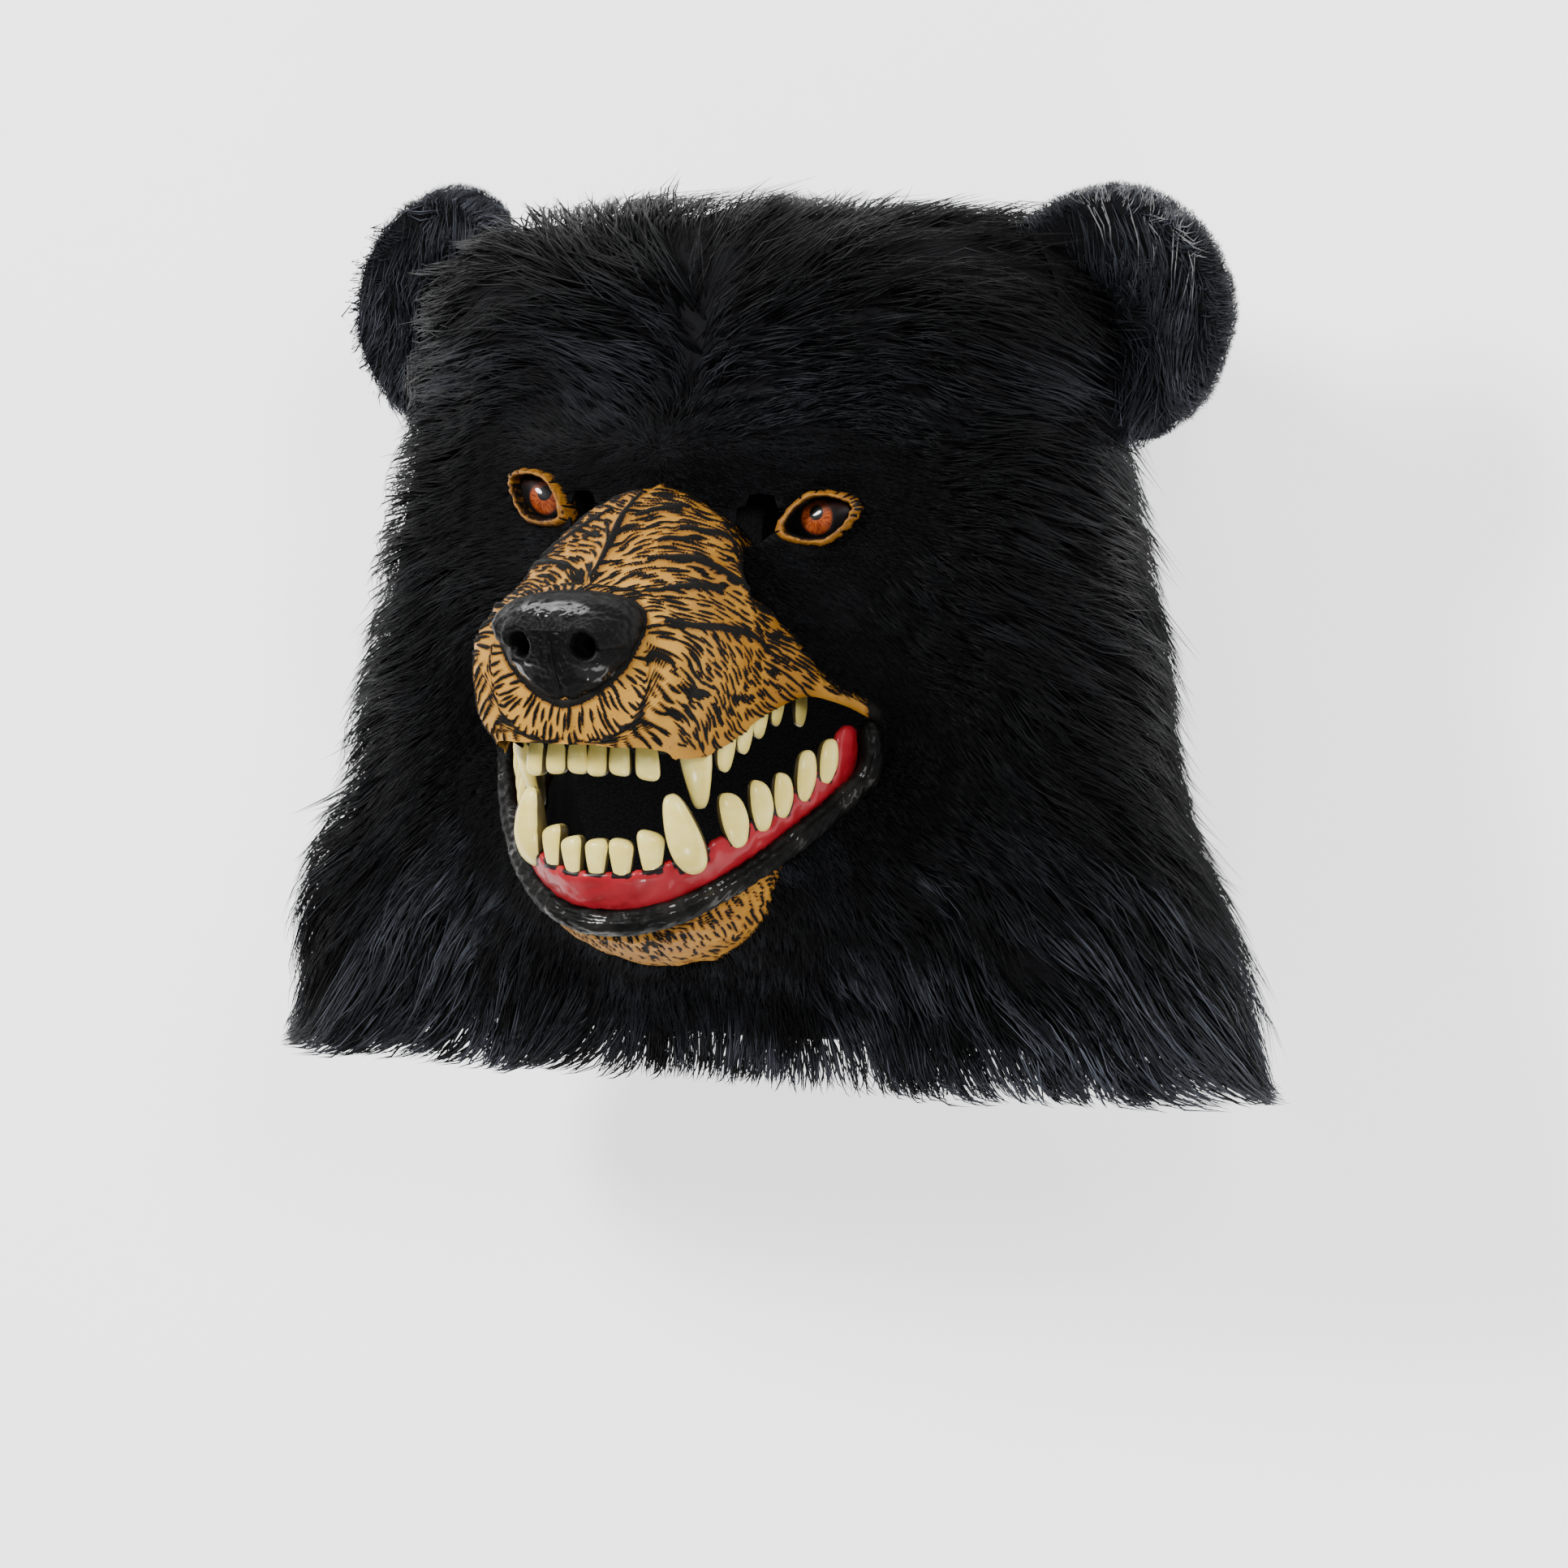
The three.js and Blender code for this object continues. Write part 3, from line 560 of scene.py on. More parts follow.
def grid_faces(rows, columns, around=False):
    """Four-cornered faces of a grid of points, closed round its columns where around is true."""
    r = np.arange(rows - 1)[:, None]
    c = np.arange(columns if around else columns - 1)[None, :]
    a = r * columns + c
    b = r * columns + (c + 1) % columns
    return join(a, b, b + columns, a + columns).reshape(-1, 4)


HAIR_TAPER, HAIR_FLATNESS = np.array([0.8, 1.0, 0.75, 0.5]), 0.8
# Tone of each hair from root to tip: painted shade, darkest at the root deep in the pile, and a little
# painted sheen at the tip.
ROOT_SHADE, NECK_SHADE, TIP_SHADE = 0.55, 0.95, 1.1


def strand_mesh(name, lines, outward, width, tone, finish):
    """Tapered three-sided hairs along lines of points, shut at the root and drawn to a point."""
    count, rings = lines.shape[0], lines.shape[1] - 1
    way = unit(np.gradient(lines, axis=1)[:, :rings])
    side = unit(np.cross(outward[:, None, :], way))
    ridge = np.cross(way, side)
    thin = (width[:, None] * HAIR_TAPER[:rings] / 2)[..., None]
    ring = np.stack([side * thin, ridge * thin * HAIR_FLATNESS, -side * thin], axis=2)
    ring = ring + lines[:, :rings, None]
    points = np.concatenate([ring.reshape(count, -1, 3), lines[:, -1:]], axis=1)
    shades = tone[:, None] * np.append(np.repeat(np.linspace(ROOT_SHADE, NECK_SHADE, rings), 3), TIP_SHADE)
    start = (np.arange(count) * (3 * rings + 1))[:, None, None]
    k = np.arange(3)
    last = 3 * (rings - 1)
    ends = np.concatenate([join(last + k, last + (k + 1) % 3, 3 * rings), [[2, 1, 0]]])
    parts = (grid_faces(rings, 3, around=True), ends)
    faces = [(start + part).reshape(-1, part.shape[1]) for part in parts if len(part)]
    return surface(name, points, faces, finish, tone=shades)


WISP_LIFT, WISP_SHARE, ROOT_CURVE = 6.0, 0.04, 1.6
# how far the roots of a lock lie apart, to its width and to its length, and how much more along it
LOCK_WIDE, LOCK_LONG, LOCK_AHEAD = 3.2, 0.05, 1.6
# how much locks differ in length and tone, and a lock's hairs in pull to its tip, reach, width and tone
LOCK_LENGTHS, LOCK_TONES = (0.75, 1.25), (0.7, 1.1)
HAIR_PULLS, HAIR_REACHES, HAIR_WIDTHS, HAIR_TONES = (0.5, 0.95), (0.7, 1.12), (0.7, 1.2), (0.7, 1.2)
HAIR_LIFTS, PULL_CURVE, HAIR_BOW, HAIR_CLEAR = (-0.5, 0.7), 1.5, 0.022, 0.8


def comb(pelt, rng, v, a, style, children, steps):
    """Locks of hair: a few hairs round each place, laid over the surface and drawn together at their tips.

    style(points) gives the way, length, depth of the roots, height of the tips, width and tone."""
    start, first = pelt.place(v, a)
    _, length, depth, height, width, tone = style(start)
    length = length * rng.uniform(*LOCK_LENGTHS, len(v))
    height = height + WISP_LIFT * (rng.random(len(v)) < WISP_SHARE) * ease(length, 18, 28)
    places = []
    for step in range(steps + 1):
        share = step / steps
        at, _ = pelt.place(v, a, depth * (1 - share) ** ROOT_CURVE - height * share)
        places.append(at)
        v, a = pelt.drift(v, a, style(at)[0], length / steps)
    lines = np.stack(places, axis=1)
    side = unit(np.cross(first, lines[:, -1] - lines[:, 0]))
    ahead = np.cross(side, first)
    share = np.linspace(0, 1, steps + 1)[:, None]
    hairs, widths, tones = [], [], []
    lock_tone = tone * rng.uniform(*LOCK_TONES, len(v))
    room = (width * LOCK_WIDE + length * LOCK_LONG) * (children > 1)
    for _ in range(children):
        spread = np.clip(rng.normal(size=(2, len(v))), -2, 2) * room
        pull = rng.uniform(*HAIR_PULLS, len(v))
        offset = side * spread[0][:, None] + ahead * spread[1][:, None] * LOCK_AHEAD
        lifted = first * (rng.uniform(*HAIR_LIFTS, len(v)) * np.minimum(height, 1.5))[:, None]
        bow = side * (rng.normal(size=len(v)) * length * HAIR_BOW)[:, None]
        shift = offset[:, None] * (1 - pull[:, None, None] * share**PULL_CURVE)
        shift = shift + lifted[:, None] * share + bow[:, None] * np.sin(np.pi * share)
        reach = rng.uniform(*HAIR_REACHES, len(v))[:, None, None]
        hairs.append(lines[:, :1] + (lines - lines[:, :1]) * reach + shift)
        widths.append(width * rng.uniform(*HAIR_WIDTHS, len(v)))
        tones.append(lock_tone * rng.uniform(*HAIR_TONES, len(v)))
    lines = np.concatenate(hairs)
    lines[..., 2] = np.maximum(lines[..., 2], HAIR_CLEAR)
    below = np.maximum(FRINGE_FROM - lines[..., 1], 0)
    lines[..., 1] += below - FRINGE_REACH * np.tanh(below / FRINGE_REACH)
    return lines, np.tile(first, (children, 1)), np.concatenate(widths), np.concatenate(tones)


WAY_CENTRE = np.array([0.0, 35.0, 262.0])


def strayed(way, stray):
    """A way turned to one side across the front by a share of its own length."""
    return way + join(-way[..., 1], way[..., 0], 0) * stray[..., None]


def hood_style(points):
    """Lie of the pile: parted at the forehead's crease, back over the cheeks, down on the drape."""
    x, y, z = split(points)
    gap = np.maximum(face_gap(points), 0)
    rise = y - WAY_CENTRE[1]
    wide = np.abs(x)
    up = np.where(rise > 0, 0.16 + 0.12 * ease(y, 95, 140), 0.42) * rise
    up = up - 12 * ease(-rise, 0, 60) - 0.4 * wide * ease(wide, 30, 120)
    way = unit(join(x + 14 * np.tanh(x / 6) * (1 - ease(-y, 100, 150)), up, z - WAY_CENTRE[2]))
    way[..., 1] -= ease(-rise, 60, 190) * 0.35 + 0.8 * ease(-z, -120, -40)
    way = strayed(way, 0.3 * waves(points, 75.0, 11) + 0.08 * waves(points, 26.0, 12))
    along = unit(way)
    streak = waves(points - 0.82 * along * (points * along).sum(axis=-1, keepdims=True), 10.0, 14)
    clipped = ease(gap, 2, 85)
    body = 38 + 14 * ease(-y, 90, 150) + 2 * ease(wide, 90, 150) + 6 * ease(y, 60, 110)
    length = 4.5 + 4.0 * ease(gap, 2, 22) + (body - 8.5) * clipped**1.3
    hem = HEM_HANG * (0.76 + 0.36 * waves(points, 8.0, 17))
    length = np.minimum(length, np.maximum(y - HEM + hem, 6) / 0.62)
    depth = 1.6 + 5.4 * ease(gap, 0, 60)
    height = 0.3 + clipped + 4 * ease(wide, 110, 155) + 2 * ease(-y, 90, 150) + 2.5 * ease(y, 120, 145)
    height = height + 1.3 * streak * clipped
    width = 0.42 + 0.22 * clipped + 0.16 * ease(-y, 100, 160) + 0.35 * ease(-z, -90, -30)
    # Painted sheen: the tone is lighter along the streaks, more so on the drape, which is also lighter
    # overall.
    low = ease(-y, 75, 125)
    tone = np.clip(0.66 + 0.2 * low + (0.42 + 1.3 * low) * np.clip(streak, -1, 1), 0.1, 2.2)
    return way, length, depth, height, width, tone


# The pile runs by its tone from near black to a grey-blue painted sheen, in soft patches of painted sheen;
# a tone past 2.6 gives the grey of the scuffed ear seam.
fur_finish = Finish("black_pile", Specular_IOR_Level=0.17)
fur_tone = fur_finish.tone()
fur_sheen_patch = fur_finish.noise(14.0, 2.0).step(0.35, 0.7)
fur_fleck = fur_finish.noise(900.0, 2.0)
fur_sheen_share = fur_tone**1.8 * (0.2 + fur_sheen_patch * 0.35)
fur_finish.shade(
    Base_Color=fur_finish.mix(
        fur_tone.step(2.6, 3.4),
        fur_finish.mix(fur_sheen_share, (0.001, 0.0011, 0.0013), (0.072, 0.079, 0.1)),
        (0.2, 0.2, 0.21),
    ),
    Roughness=0.42 + fur_fleck * 0.2,
)

hood_pelt = Pelt(hood_form, hood_relief)
SHORT_BAND, BROW_FROM, DRAPE_TO, BACK_TO = 26.0, 42.0, -108.0, 60.0
# name, times covered, hairs in a lock, steps along a hair, and where on the hood
REGIONS = (
    ("fur_face", 3.3, 2, 1, lambda y, z, gap: gap < SHORT_BAND),
    ("fur_brow", 3.0, 6, 2, lambda y, z, gap: (gap >= SHORT_BAND) & (y > BROW_FROM) & (z > BACK_TO)),
    ("fur_cheeks", 3.7, 6, 2,
     lambda y, z, gap: (gap >= SHORT_BAND) & (y <= BROW_FROM) & (y > DRAPE_TO) & (z > BACK_TO)),
    ("fur_drape", 3.6, 6, 3, lambda y, z, gap: (gap >= SHORT_BAND) & (y <= DRAPE_TO) & (z > BACK_TO)),
    ("fur_back", 1.8, 5, 2, lambda y, z, gap: z <= BACK_TO),
)
for seed, (name, cover, children, steps, where) in enumerate(REGIONS):
    rng = np.random.default_rng(100 + seed)

    def density(points):
        """Hairs of the region to the square millimetre, with more in the fringe and none in the holes."""
        _, length, _, _, width, _ = hood_style(points)
        gap, y, z = face_gap(points), points[..., 1], points[..., 2]
        fringe = 1 + 2.4 * ease(-y, 160, 178)
        return cover / children * fringe * (gap > -0.5) / (length * width) * where(y, z, gap)

    v, a = hood_pelt.roots(rng, density, (0.004, HIGHEST_V), (-np.pi, np.pi), (240, 300))
    lines, normals, widths, tones = comb(hood_pelt, rng, v, a, hood_style, children, steps)
    slot = oval_gap(np.abs(lines[..., 0]), lines[..., 1], SLOT_OVAL).min(axis=1)
    x, y, z = lines[:, 0].T
    clear = (slot > 0.2) | (z < FACE_FROM)
    # Painted shade on the tones: darker over the cheeks and much darker up the crown. They are also darker
    # on the short pile by the face.
    shaded_cheek = ease(np.abs(x), 50, 90) * (1 - ease(np.abs(y + 30), 60, 110))
    near_face = 0.6 + 0.4 * ease(face_gap(lines[:, 0]), 10, 60)
    tones = tones * near_face * (1 - 0.92 * ease(y, 70, 125)) * (1 - 0.5 * shaded_cheek)
    hairs = strand_mesh(name, lines[clear], normals[clear], widths[clear], tones[clear], fur_finish)
    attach(hairs, "root")

SKIN_ROWS, SKIN_COLUMNS, LINING_ROWS, LINING_COLUMNS = 88, 104, 60, 80
SKIN_FROM, SKIN_TOP, LINING_DEPTH, HEM_ROUND = 0.012, 0.975, 23.0, 3.0
LINING_CLEAR, BAND_CLEAR, BAND_UNDER, BAND_ROWS = 4.0, 0.6, 0.3, 9
FRONT_CROWDING, SKIN_UNDER = 0.6, 0.6


def sheet(name, points, finish, around=False, turn=1, chart=None, tone=None):
    """Surface through a grid of points, closed round its columns where around is true, faced by turn."""
    return surface(name, points, grid_faces(*points.shape[:2], around)[:, ::turn], finish, chart, tone)


def sheet_gap(points):
    """Distance from the holes in the cloth, under the edges of the face pieces and at the vision slots."""
    x, y, z = split(points)
    slot = np.where(z > FACE_FROM, oval_gap(abs(x), y, SLOT_OVAL), 99.0)
    return np.minimum(face_gap(points) + BEAD_COVER, slot)


def crowded(count):
    """Angles once round, closer together in front, where the holes are."""
    return circle(count) - FRONT_CROWDING * np.sin(circle(count))


def open_sheet(pelt, rows, columns, depth, floor):
    """Grid over the hood at a depth below the pile, shut at the crown and open at the face's holes."""
    v, a = grid(np.linspace(SKIN_FROM, SKIN_TOP, rows), crowded(columns))
    points = pelt.points(v, a, depth(pelt.form(v, a)))
    crown = points[-1:].mean(axis=1, keepdims=True) + (0, 1.5, 0)
    points = np.concatenate([points, np.repeat(crown, columns, axis=1)]).reshape(-1, 3)
    points[:, 2] = np.maximum(points[:, 2], floor)
    faces = grid_faces(rows + 1, columns, around=True)
    gap = sheet_gap(points)
    faces = faces[gap[faces].mean(axis=1) > 0]
    edge = (gap < 0) & np.isin(np.arange(len(points)), faces)
    for _ in range(4):
        at = points[edge]
        slope = join(*[sheet_gap(at + step) - sheet_gap(at - step) for step in np.eye(3)[:2] * 0.5])
        points[edge, :2] -= unit(slope) * np.clip(sheet_gap(at), -4, 4)[:, None]
    return points, faces


def backing_depth(points):
    return hood_style(points)[2] + SKIN_UNDER


skin_points, faces = open_sheet(hood_pelt, SKIN_ROWS, SKIN_COLUMNS, backing_depth, FLOOR_CLEAR)
skin_finish = Finish("black_backing", Roughness=0.9, Specular_IOR_Level=0.1)
skin_knit = skin_finish.noise(700.0)
skin_finish.shade(Base_Color=(0.006, 0.006, 0.007, 1), Normal=skin_finish.bump(skin_knit, 0.4))
skin = surface("fur_backing", skin_points, faces, skin_finish)
wall = skin.modifiers.new("cloth", "SOLIDIFY")
wall.thickness = 0.0015
wall.offset = -1
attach(skin, "root")
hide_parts("fur_hood")

# The lining is black cloth. It hangs inside the hood and is turned out over the hem.
lining_points, faces = open_sheet(
    hood_pelt, LINING_ROWS, LINING_COLUMNS, lambda points: LINING_DEPTH, LINING_CLEAR
)
lining_finish = Finish("lining_cloth", Roughness=0.85, Specular_IOR_Level=0.15)
weave = lining_finish.cells(1100.0)
lining_finish.shade(
    Base_Color=lining_finish.mix(weave.step(0.1, 0.7), (0.014, 0.014, 0.016), (0.005, 0.005, 0.006)),
    Normal=lining_finish.bump(-weave, 0.3),
)
lining = surface("hood_lining", lining_points, faces[:, ::-1], lining_finish)
turn = crowded(LINING_COLUMNS)
low = np.full_like(turn, SKIN_FROM)
edge_depth = backing_depth(hood_pelt.form(low, turn)) + BAND_UNDER
outer_edge = hood_pelt.points(low, turn, edge_depth)
outer_edge[:, 2] = np.maximum(outer_edge[:, 2], BAND_CLEAR)
across = np.linspace(0, 1, BAND_ROWS)[:, None, None]
band = outer_edge * (1 - across) + lining_points[:LINING_COLUMNS] * across
band[..., 1] -= HEM_ROUND * np.sin(np.pi * across[..., 0]) ** 0.6
hem = sheet("hem_band", band, lining_finish, around=True, turn=-1)
for cloth in (lining, hem):
    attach(cloth, "root")

# Ears.
# Two padded ovals of the same pile fabric, hollowed in front and sewn to the hood's upper corners.
# Their pile is short, and the folded seam along the top of the bear's left ear is scuffed grey.
EAR_PLACE = np.array([143.0, 102.0, 139.0])
EAR_HALF_WIDTH, EAR_HALF_HEIGHT, EAR_CUP, EAR_TURN = 48.0, 51.0, 9.0, np.radians(19.0)
EAR_PROFILE = (
    (0.0, 0.0, -15.3),
    (0.16, 0.4, -15.0),
    (0.33, 0.8, -12.0),
    (0.45, 1.0, -1.5),
    (0.56, 0.88, 11.25),
    (0.7, 0.6, 6.75),
    (0.85, 0.3, 2.25),
    (1.0, 0.0, 1.0),
)
EAR_SEAT, EAR_SKIN_DEPTH = 0.95, 2.4
EAR_ROWS, EAR_COLUMNS = 46, 64
EAR_DROOP = np.array([0.25, -0.95, 0.1])
# name, times covered, hairs longer than and up to, hairs in a lock, steps along a hair
EAR_HAIRS = (("short", 2.0, 0, 7.5, 2, 1), ("long", 3.2, 7.5, 99, 5, 2))


def ear_form(side):
    """Oval pad: a profile from the middle of the back, over the rim, to the middle of the hollow."""
    def form(v, a):
        share, z = split(between(EAR_PROFILE, np.clip(v, 0, 1)))
        share = np.maximum(share, 0)
        angle = a * side
        x, y = EAR_HALF_WIDTH * share * np.cos(angle), EAR_HALF_HEIGHT * share * np.sin(angle)
        z = z + EAR_CUP * np.cos(angle) ** 2 * share**2
        points = join(x, y, z) @ turned("Y", EAR_TURN).T + EAR_PLACE
        return points * (side, 1, 1)
    return form


def rounded(value, power=2.0):
    """Quarter of a squared circle, 1 at 0 and 0 from 1 on: (1 - value^power)^(1/power)."""
    return (1 - np.clip(value, 0, 1) ** power) ** (1 / power)


def hood_share(points):
    """How far out a point is from the hood's middle line: 1 on the outside of the pile."""
    x, y, z = split(points)
    size = rounded(np.minimum((y - TEMPLE) / (CROWN_TOP - TEMPLE), 0.9999), CROWN_POWER)
    half, front, back, wide = hood_section(y, size)
    power = np.where(z > wide, FRONT_POWER, BACK_POWER)
    reach = np.where(z > wide, front - wide, wide - back)
    return oval_share(x / half, (z - wide) / reach, power), wide


def ear_chart(points, side):
    """Place in the ear's own frame, outwards, up and forward, and its share of the way to the rim."""
    x, y, z = split((points * (side, 1, 1) - EAR_PLACE) @ turned("Y", EAR_TURN))
    return x, y, z, np.hypot(x / EAR_HALF_WIDTH, y / EAR_HALF_HEIGHT)


def ear_relief(points):
    return 0.7 * waves(points, 34.0, 21)


def ear_style(side):
    """Lie of the ear's pile: outwards over the rim and the back, drooping in the hollow."""
    def style(points):
        x, y, z, share = ear_chart(points, side)
        hollow = ease(z, 0, 5) * ease(0.86 - share, 0, 0.2)
        way = join(x, y, 0) / EAR_HALF_HEIGHT * (1 - hollow[..., None]) + EAR_DROOP * hollow[..., None]
        way = strayed(way, 0.4 * waves(points, 30.0, 22)) @ turned("Y", EAR_TURN).T * (side, 1, 1)
        seat = 1 - ease(hood_share(points)[0], 1.0, 1.12)
        length = 5.0 + 20.0 * hollow + (9.0 + 9.0 * (y < 0)) * seat + 2.5 * (z < -6)
        tone = 1.5 + 0.4 * waves(points * (1, 0.3, 1), 9.0, 24)
        return way, length, 2.2, 0.35 + 0.9 * hollow, 0.46 + 0.12 * hollow, tone
    return style


for side, name in ((1, "left"), (-1, "right")):
    rng = np.random.default_rng(200)
    ear_pelt = Pelt(ear_form(side), ear_relief)
    lie = ear_style(side)

    def density(points):
        """Hairs of one kind to the square millimetre, with none inside the hood."""
        _, length, _, _, width, _ = lie(points)
        shown = (hood_share(points)[0] > 0.985) & (length > low) & (length <= high)
        return cover / children / (length * width) * shown

    for kind, cover, low, high, children, steps in EAR_HAIRS:
        v, a = ear_pelt.roots(rng, density, (0, 1), (-np.pi, np.pi), (90, 120))
        lines, normals, widths, tones = comb(ear_pelt, rng, v, a, lie, children, steps)
        x, y, z, rim = ear_chart(lines[:, 0], side)
        scuffed = (x > -14) & (y > 22) & (z > -10) & (rim > 0.74)
        tones = np.where(scuffed & (waves(lines[:, 0], 9.0, 23) > 0.1) & (side > 0), 6.0, tones)
        hairs = strand_mesh(f"ear_fur_{kind}_{name}", lines, normals, widths, tones, fur_finish)
        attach(hairs, "root")

    points = ear_pelt.points(*grid(np.linspace(0, 1, EAR_ROWS), circle(EAR_COLUMNS)), EAR_SKIN_DEPTH)
    share, wide = hood_share(points)
    under = (points[..., 1] < CROWN_TOP) & (share < EAR_SEAT)
    push = np.where(under, EAR_SEAT / np.maximum(share, 0.2), 1.0)
    points[..., 0] *= push
    points[..., 2] = wide + (points[..., 2] - wide) * push
    pad = sheet("ear_pad_" + name, points, skin_finish, around=True)
    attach(pad, "root")
    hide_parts("ear_" + name)

# Muzzle.
# A hollow casting of tan rubber with short hair engraved all over it and the cuts filled with black paint.
# It is set into the hood, and its lower edge, the upper lip, is smooth and rounded.
SNOUT_BACK, SNOUT_EDGE, SNOUT_FRONT, CAP_FROM = 208.0, 299.0, 316.0, 0.72
SHELL_WALL = 3.0
UPPER_LIP = (
    (190, -64),
    (209, -56),
    (220, -48),
    (229, -45.5),
    (241, -50.5),
    (255, -56.5),
    (272, -62.5),
    (288, -67.5),
    (306, -63.5),
    (330, -63),
)
NOSE_MIDDLE = np.array([0.0, -27.0, 322.0])
NOSE_HALF, NOSE_TOP, NOSE_MID, NOSE_TIP, NOSE_POWER_UP, NOSE_POWER_DOWN = 29.0, -7.5, -21.0, -48.5, 2.8, 1.6
MUZZLE_ROWS, MUZZLE_COLUMNS, INSIDE_ROWS, INSIDE_COLUMNS = 196, 420, 50, 60
CUT_LENGTHS, CUT_WIDTHS, CUT_GAP, CUT_DEPTH = (5.0, 14.0), (0.4, 0.66), 1.12, 0.75
EDGE_ROLL, SEAM_BLACK, NOSE_FROM = 2.6, 214.5, 255.0
# long valleys across the bridge, filled with black: half width, and places along the muzzle and round it
VALLEYS = (
    (1.6, (0.485, 0.060), (0.434, 0.130), (0.348, 0.210)),
    (1.6, (0.457, 0.240), (0.371, 0.357), (0.304, 0.443)),
    (1.3, (0.544, 0.190), (0.485, 0.243), (0.457, 0.310)),
    (1.9, (0.610, 0.173), (0.562, 0.290), (0.477, 0.390), (0.397, 0.517), (0.360, 0.587)),
    (1.5, (0.720, 0.227), (0.693, 0.303), (0.617, 0.357), (0.519, 0.440), (0.485, 0.500)),
    (1.6, (0.836, 0.383), (0.755, 0.453), (0.620, 0.527), (0.455, 0.663), (0.338, 0.783), (0.245, 0.847)),
    (1.6, (0.445, -0.080), (0.515, -0.130), (0.524, -0.257), (0.465, -0.400)),
    (1.6, (0.698, -0.020), (0.660, -0.100), (0.593, -0.263), (0.524, -0.420), (0.407, -0.560)),
    (1.5, (0.818, -0.300), (0.680, -0.430), (0.563, -0.560), (0.427, -0.700)),
    (1.4, (0.338, -0.013), (0.477, 0.030), (0.552, 0.020), (0.580, 0.000), (0.644, 0.015), (0.710, 0.010)),
)
VALLEY_DEPTH, VALLEY_REACH, VALLEY_POINTS = 1.3, 3.4, 12


def lip_height(z):
    return between(UPPER_LIP, z)[..., 0]


def muzzle_form(grow):
    """Squared oval at each depth, open below the lip's edge, with a rounded cap at the front."""
    def form(v, a):
        edge = np.minimum(v / CAP_FROM, 1)
        z = SNOUT_BACK + (SNOUT_EDGE - SNOUT_BACK) * edge
        cap = np.clip((v - CAP_FROM) / (1 - CAP_FROM), 0, 1) * np.pi / 2
        half, top, mid, low, up, down = split(between(SNOUT, z))
        z = z + (SNOUT_FRONT - SNOUT_EDGE) * np.sin(cap) + grow
        share = np.cos(cap)
        low = (mid - low + grow) * share
        cut = np.clip((mid - lip_height(z - grow)) / np.maximum(low, 1e-6), 0, 1) ** (down / 2)
        angle = np.pi / 2 - a * (np.pi / 2 + np.arcsin(cut))
        above = np.sin(angle) > 0
        power = np.where(above, up, down)
        tall = np.where(above, (top - mid + grow) * share, low)
        y = mid + tall * squared(np.sin(angle), power)
        x = (half + grow) * share * squared(np.cos(angle), power) * pinched(y, z)
        return join(x, y, z)
    return form


def muzzle_relief(points):
    """Furrow along the bridge, the groove below the nose and soft unevenness."""
    x, y, z = split(points)
    furrow = 1.1 * bell((x + 2.6 * np.sin(y / 5.5)) / 2.6) * ease(y, -10, 0)
    groove = 1.3 * bell(x / 2.2) * ease(-y, 46, 52) * ease(z, 270, 300)
    return 0.7 * waves(points, 26.0, 31) + 0.35 * waves(points, 9.0, 32) - furrow - groove


def muzzle_way(points):
    """Lie of the engraved hair: away from the nose, outwards from the bridge's furrow."""
    x, y, z = split(points)
    way = unit(points - NOSE_MIDDLE)
    bridge = ease(y, -14, 6)
    flank = ease(np.abs(x), 18, 66) * (1 - bridge)
    way = way + join(1.5 * np.tanh(x / 4) * bridge, 0.15 * bridge - 0.6 * flank, -0.1 * flank)
    return strayed(way, 0.3 * waves(points, 26.0, 33) + 0.16 * waves(points, 8.0, 34))


CUT_STEPS = 5


def hair_paths(pelt, v, a, way, length):
    """Lines that follow the way over a surface from random places, each a cut of its own length."""
    path = []
    for _ in range(CUT_STEPS + 1):
        at, _ = pelt.place(v, a)
        path.append(at)
        v, a = pelt.drift(v, a, way(at), length / CUT_STEPS)
    return np.stack(path, axis=1)


def engrave(points, paths, widths):
    """Height of the cuts: 1 along the middle of a cut, 0 at its edge, less than 0 between the cuts.

    Each cut is widest at its middle and drawn out to both ends."""
    shape, points = points.shape[:-1], points.reshape(-1, 3)
    depth = np.full(len(points), -1.0)
    order = np.argsort(points[:, 2])
    ranked = points[order, 2]
    for line, width in zip(paths, widths):
        low, high = line.min(axis=0) - 2.2 * width, line.max(axis=0) + 2.2 * width
        near = order[np.searchsorted(ranked, low[2]):np.searchsorted(ranked, high[2])]
        near = near[((points[near] > low) & (points[near] < high)).all(axis=1)]
        if len(near) == 0:
            continue
        start, step = line[:-1], np.diff(line, axis=0)
        off = points[near][:, None] - start
        t = np.clip((off * step).sum(-1) / (step**2).sum(-1), 0, 1)
        away = np.linalg.norm(off - t[..., None] * step, axis=-1)
        part = away.argmin(axis=1)
        row = np.arange(len(near))
        along = (part + t[row, part]) / len(step)
        reach = width * (0.25 + 0.75 * np.sin(np.pi * np.clip(along, 0.02, 0.98)) ** 0.7)
        depth[near] = np.maximum(depth[near], 1 - away[row, part] / reach)
    return depth.reshape(shape)


def apart(at, out, way, length, gap):
    """Numbers of the strokes that keep a gap to the kept ones before them, side by side and end to end."""
    way = unit(way - out * (way * out).sum(axis=-1, keepdims=True))
    at = at + way * length[:, None] / 2
    kept = np.zeros(0, int)
    for i in range(len(at)):
        off = at[i] - at[kept]
        along = np.abs(off @ way[i])
        across = np.sqrt(np.maximum((off**2).sum(axis=-1) - along**2, 0))
        if not ((along < 0.47 * (length[i] + length[kept]) + 0.5) & (across < gap[i])).any():
            kept = np.append(kept, i)
    return kept


def evenly(path, count):
    """Points at equal steps along a row of points, rounded where it bends."""
    for _ in range(6):
        path = np.concatenate([path[:1], (path[:-1] + path[1:]) / 2, path[-1:]])
    way = np.concatenate([[0], np.cumsum(np.linalg.norm(np.diff(path, axis=0), axis=1))])
    at = np.linspace(0, way[-1], count)
    return join(*[np.interp(at, way, column) for column in path.T])


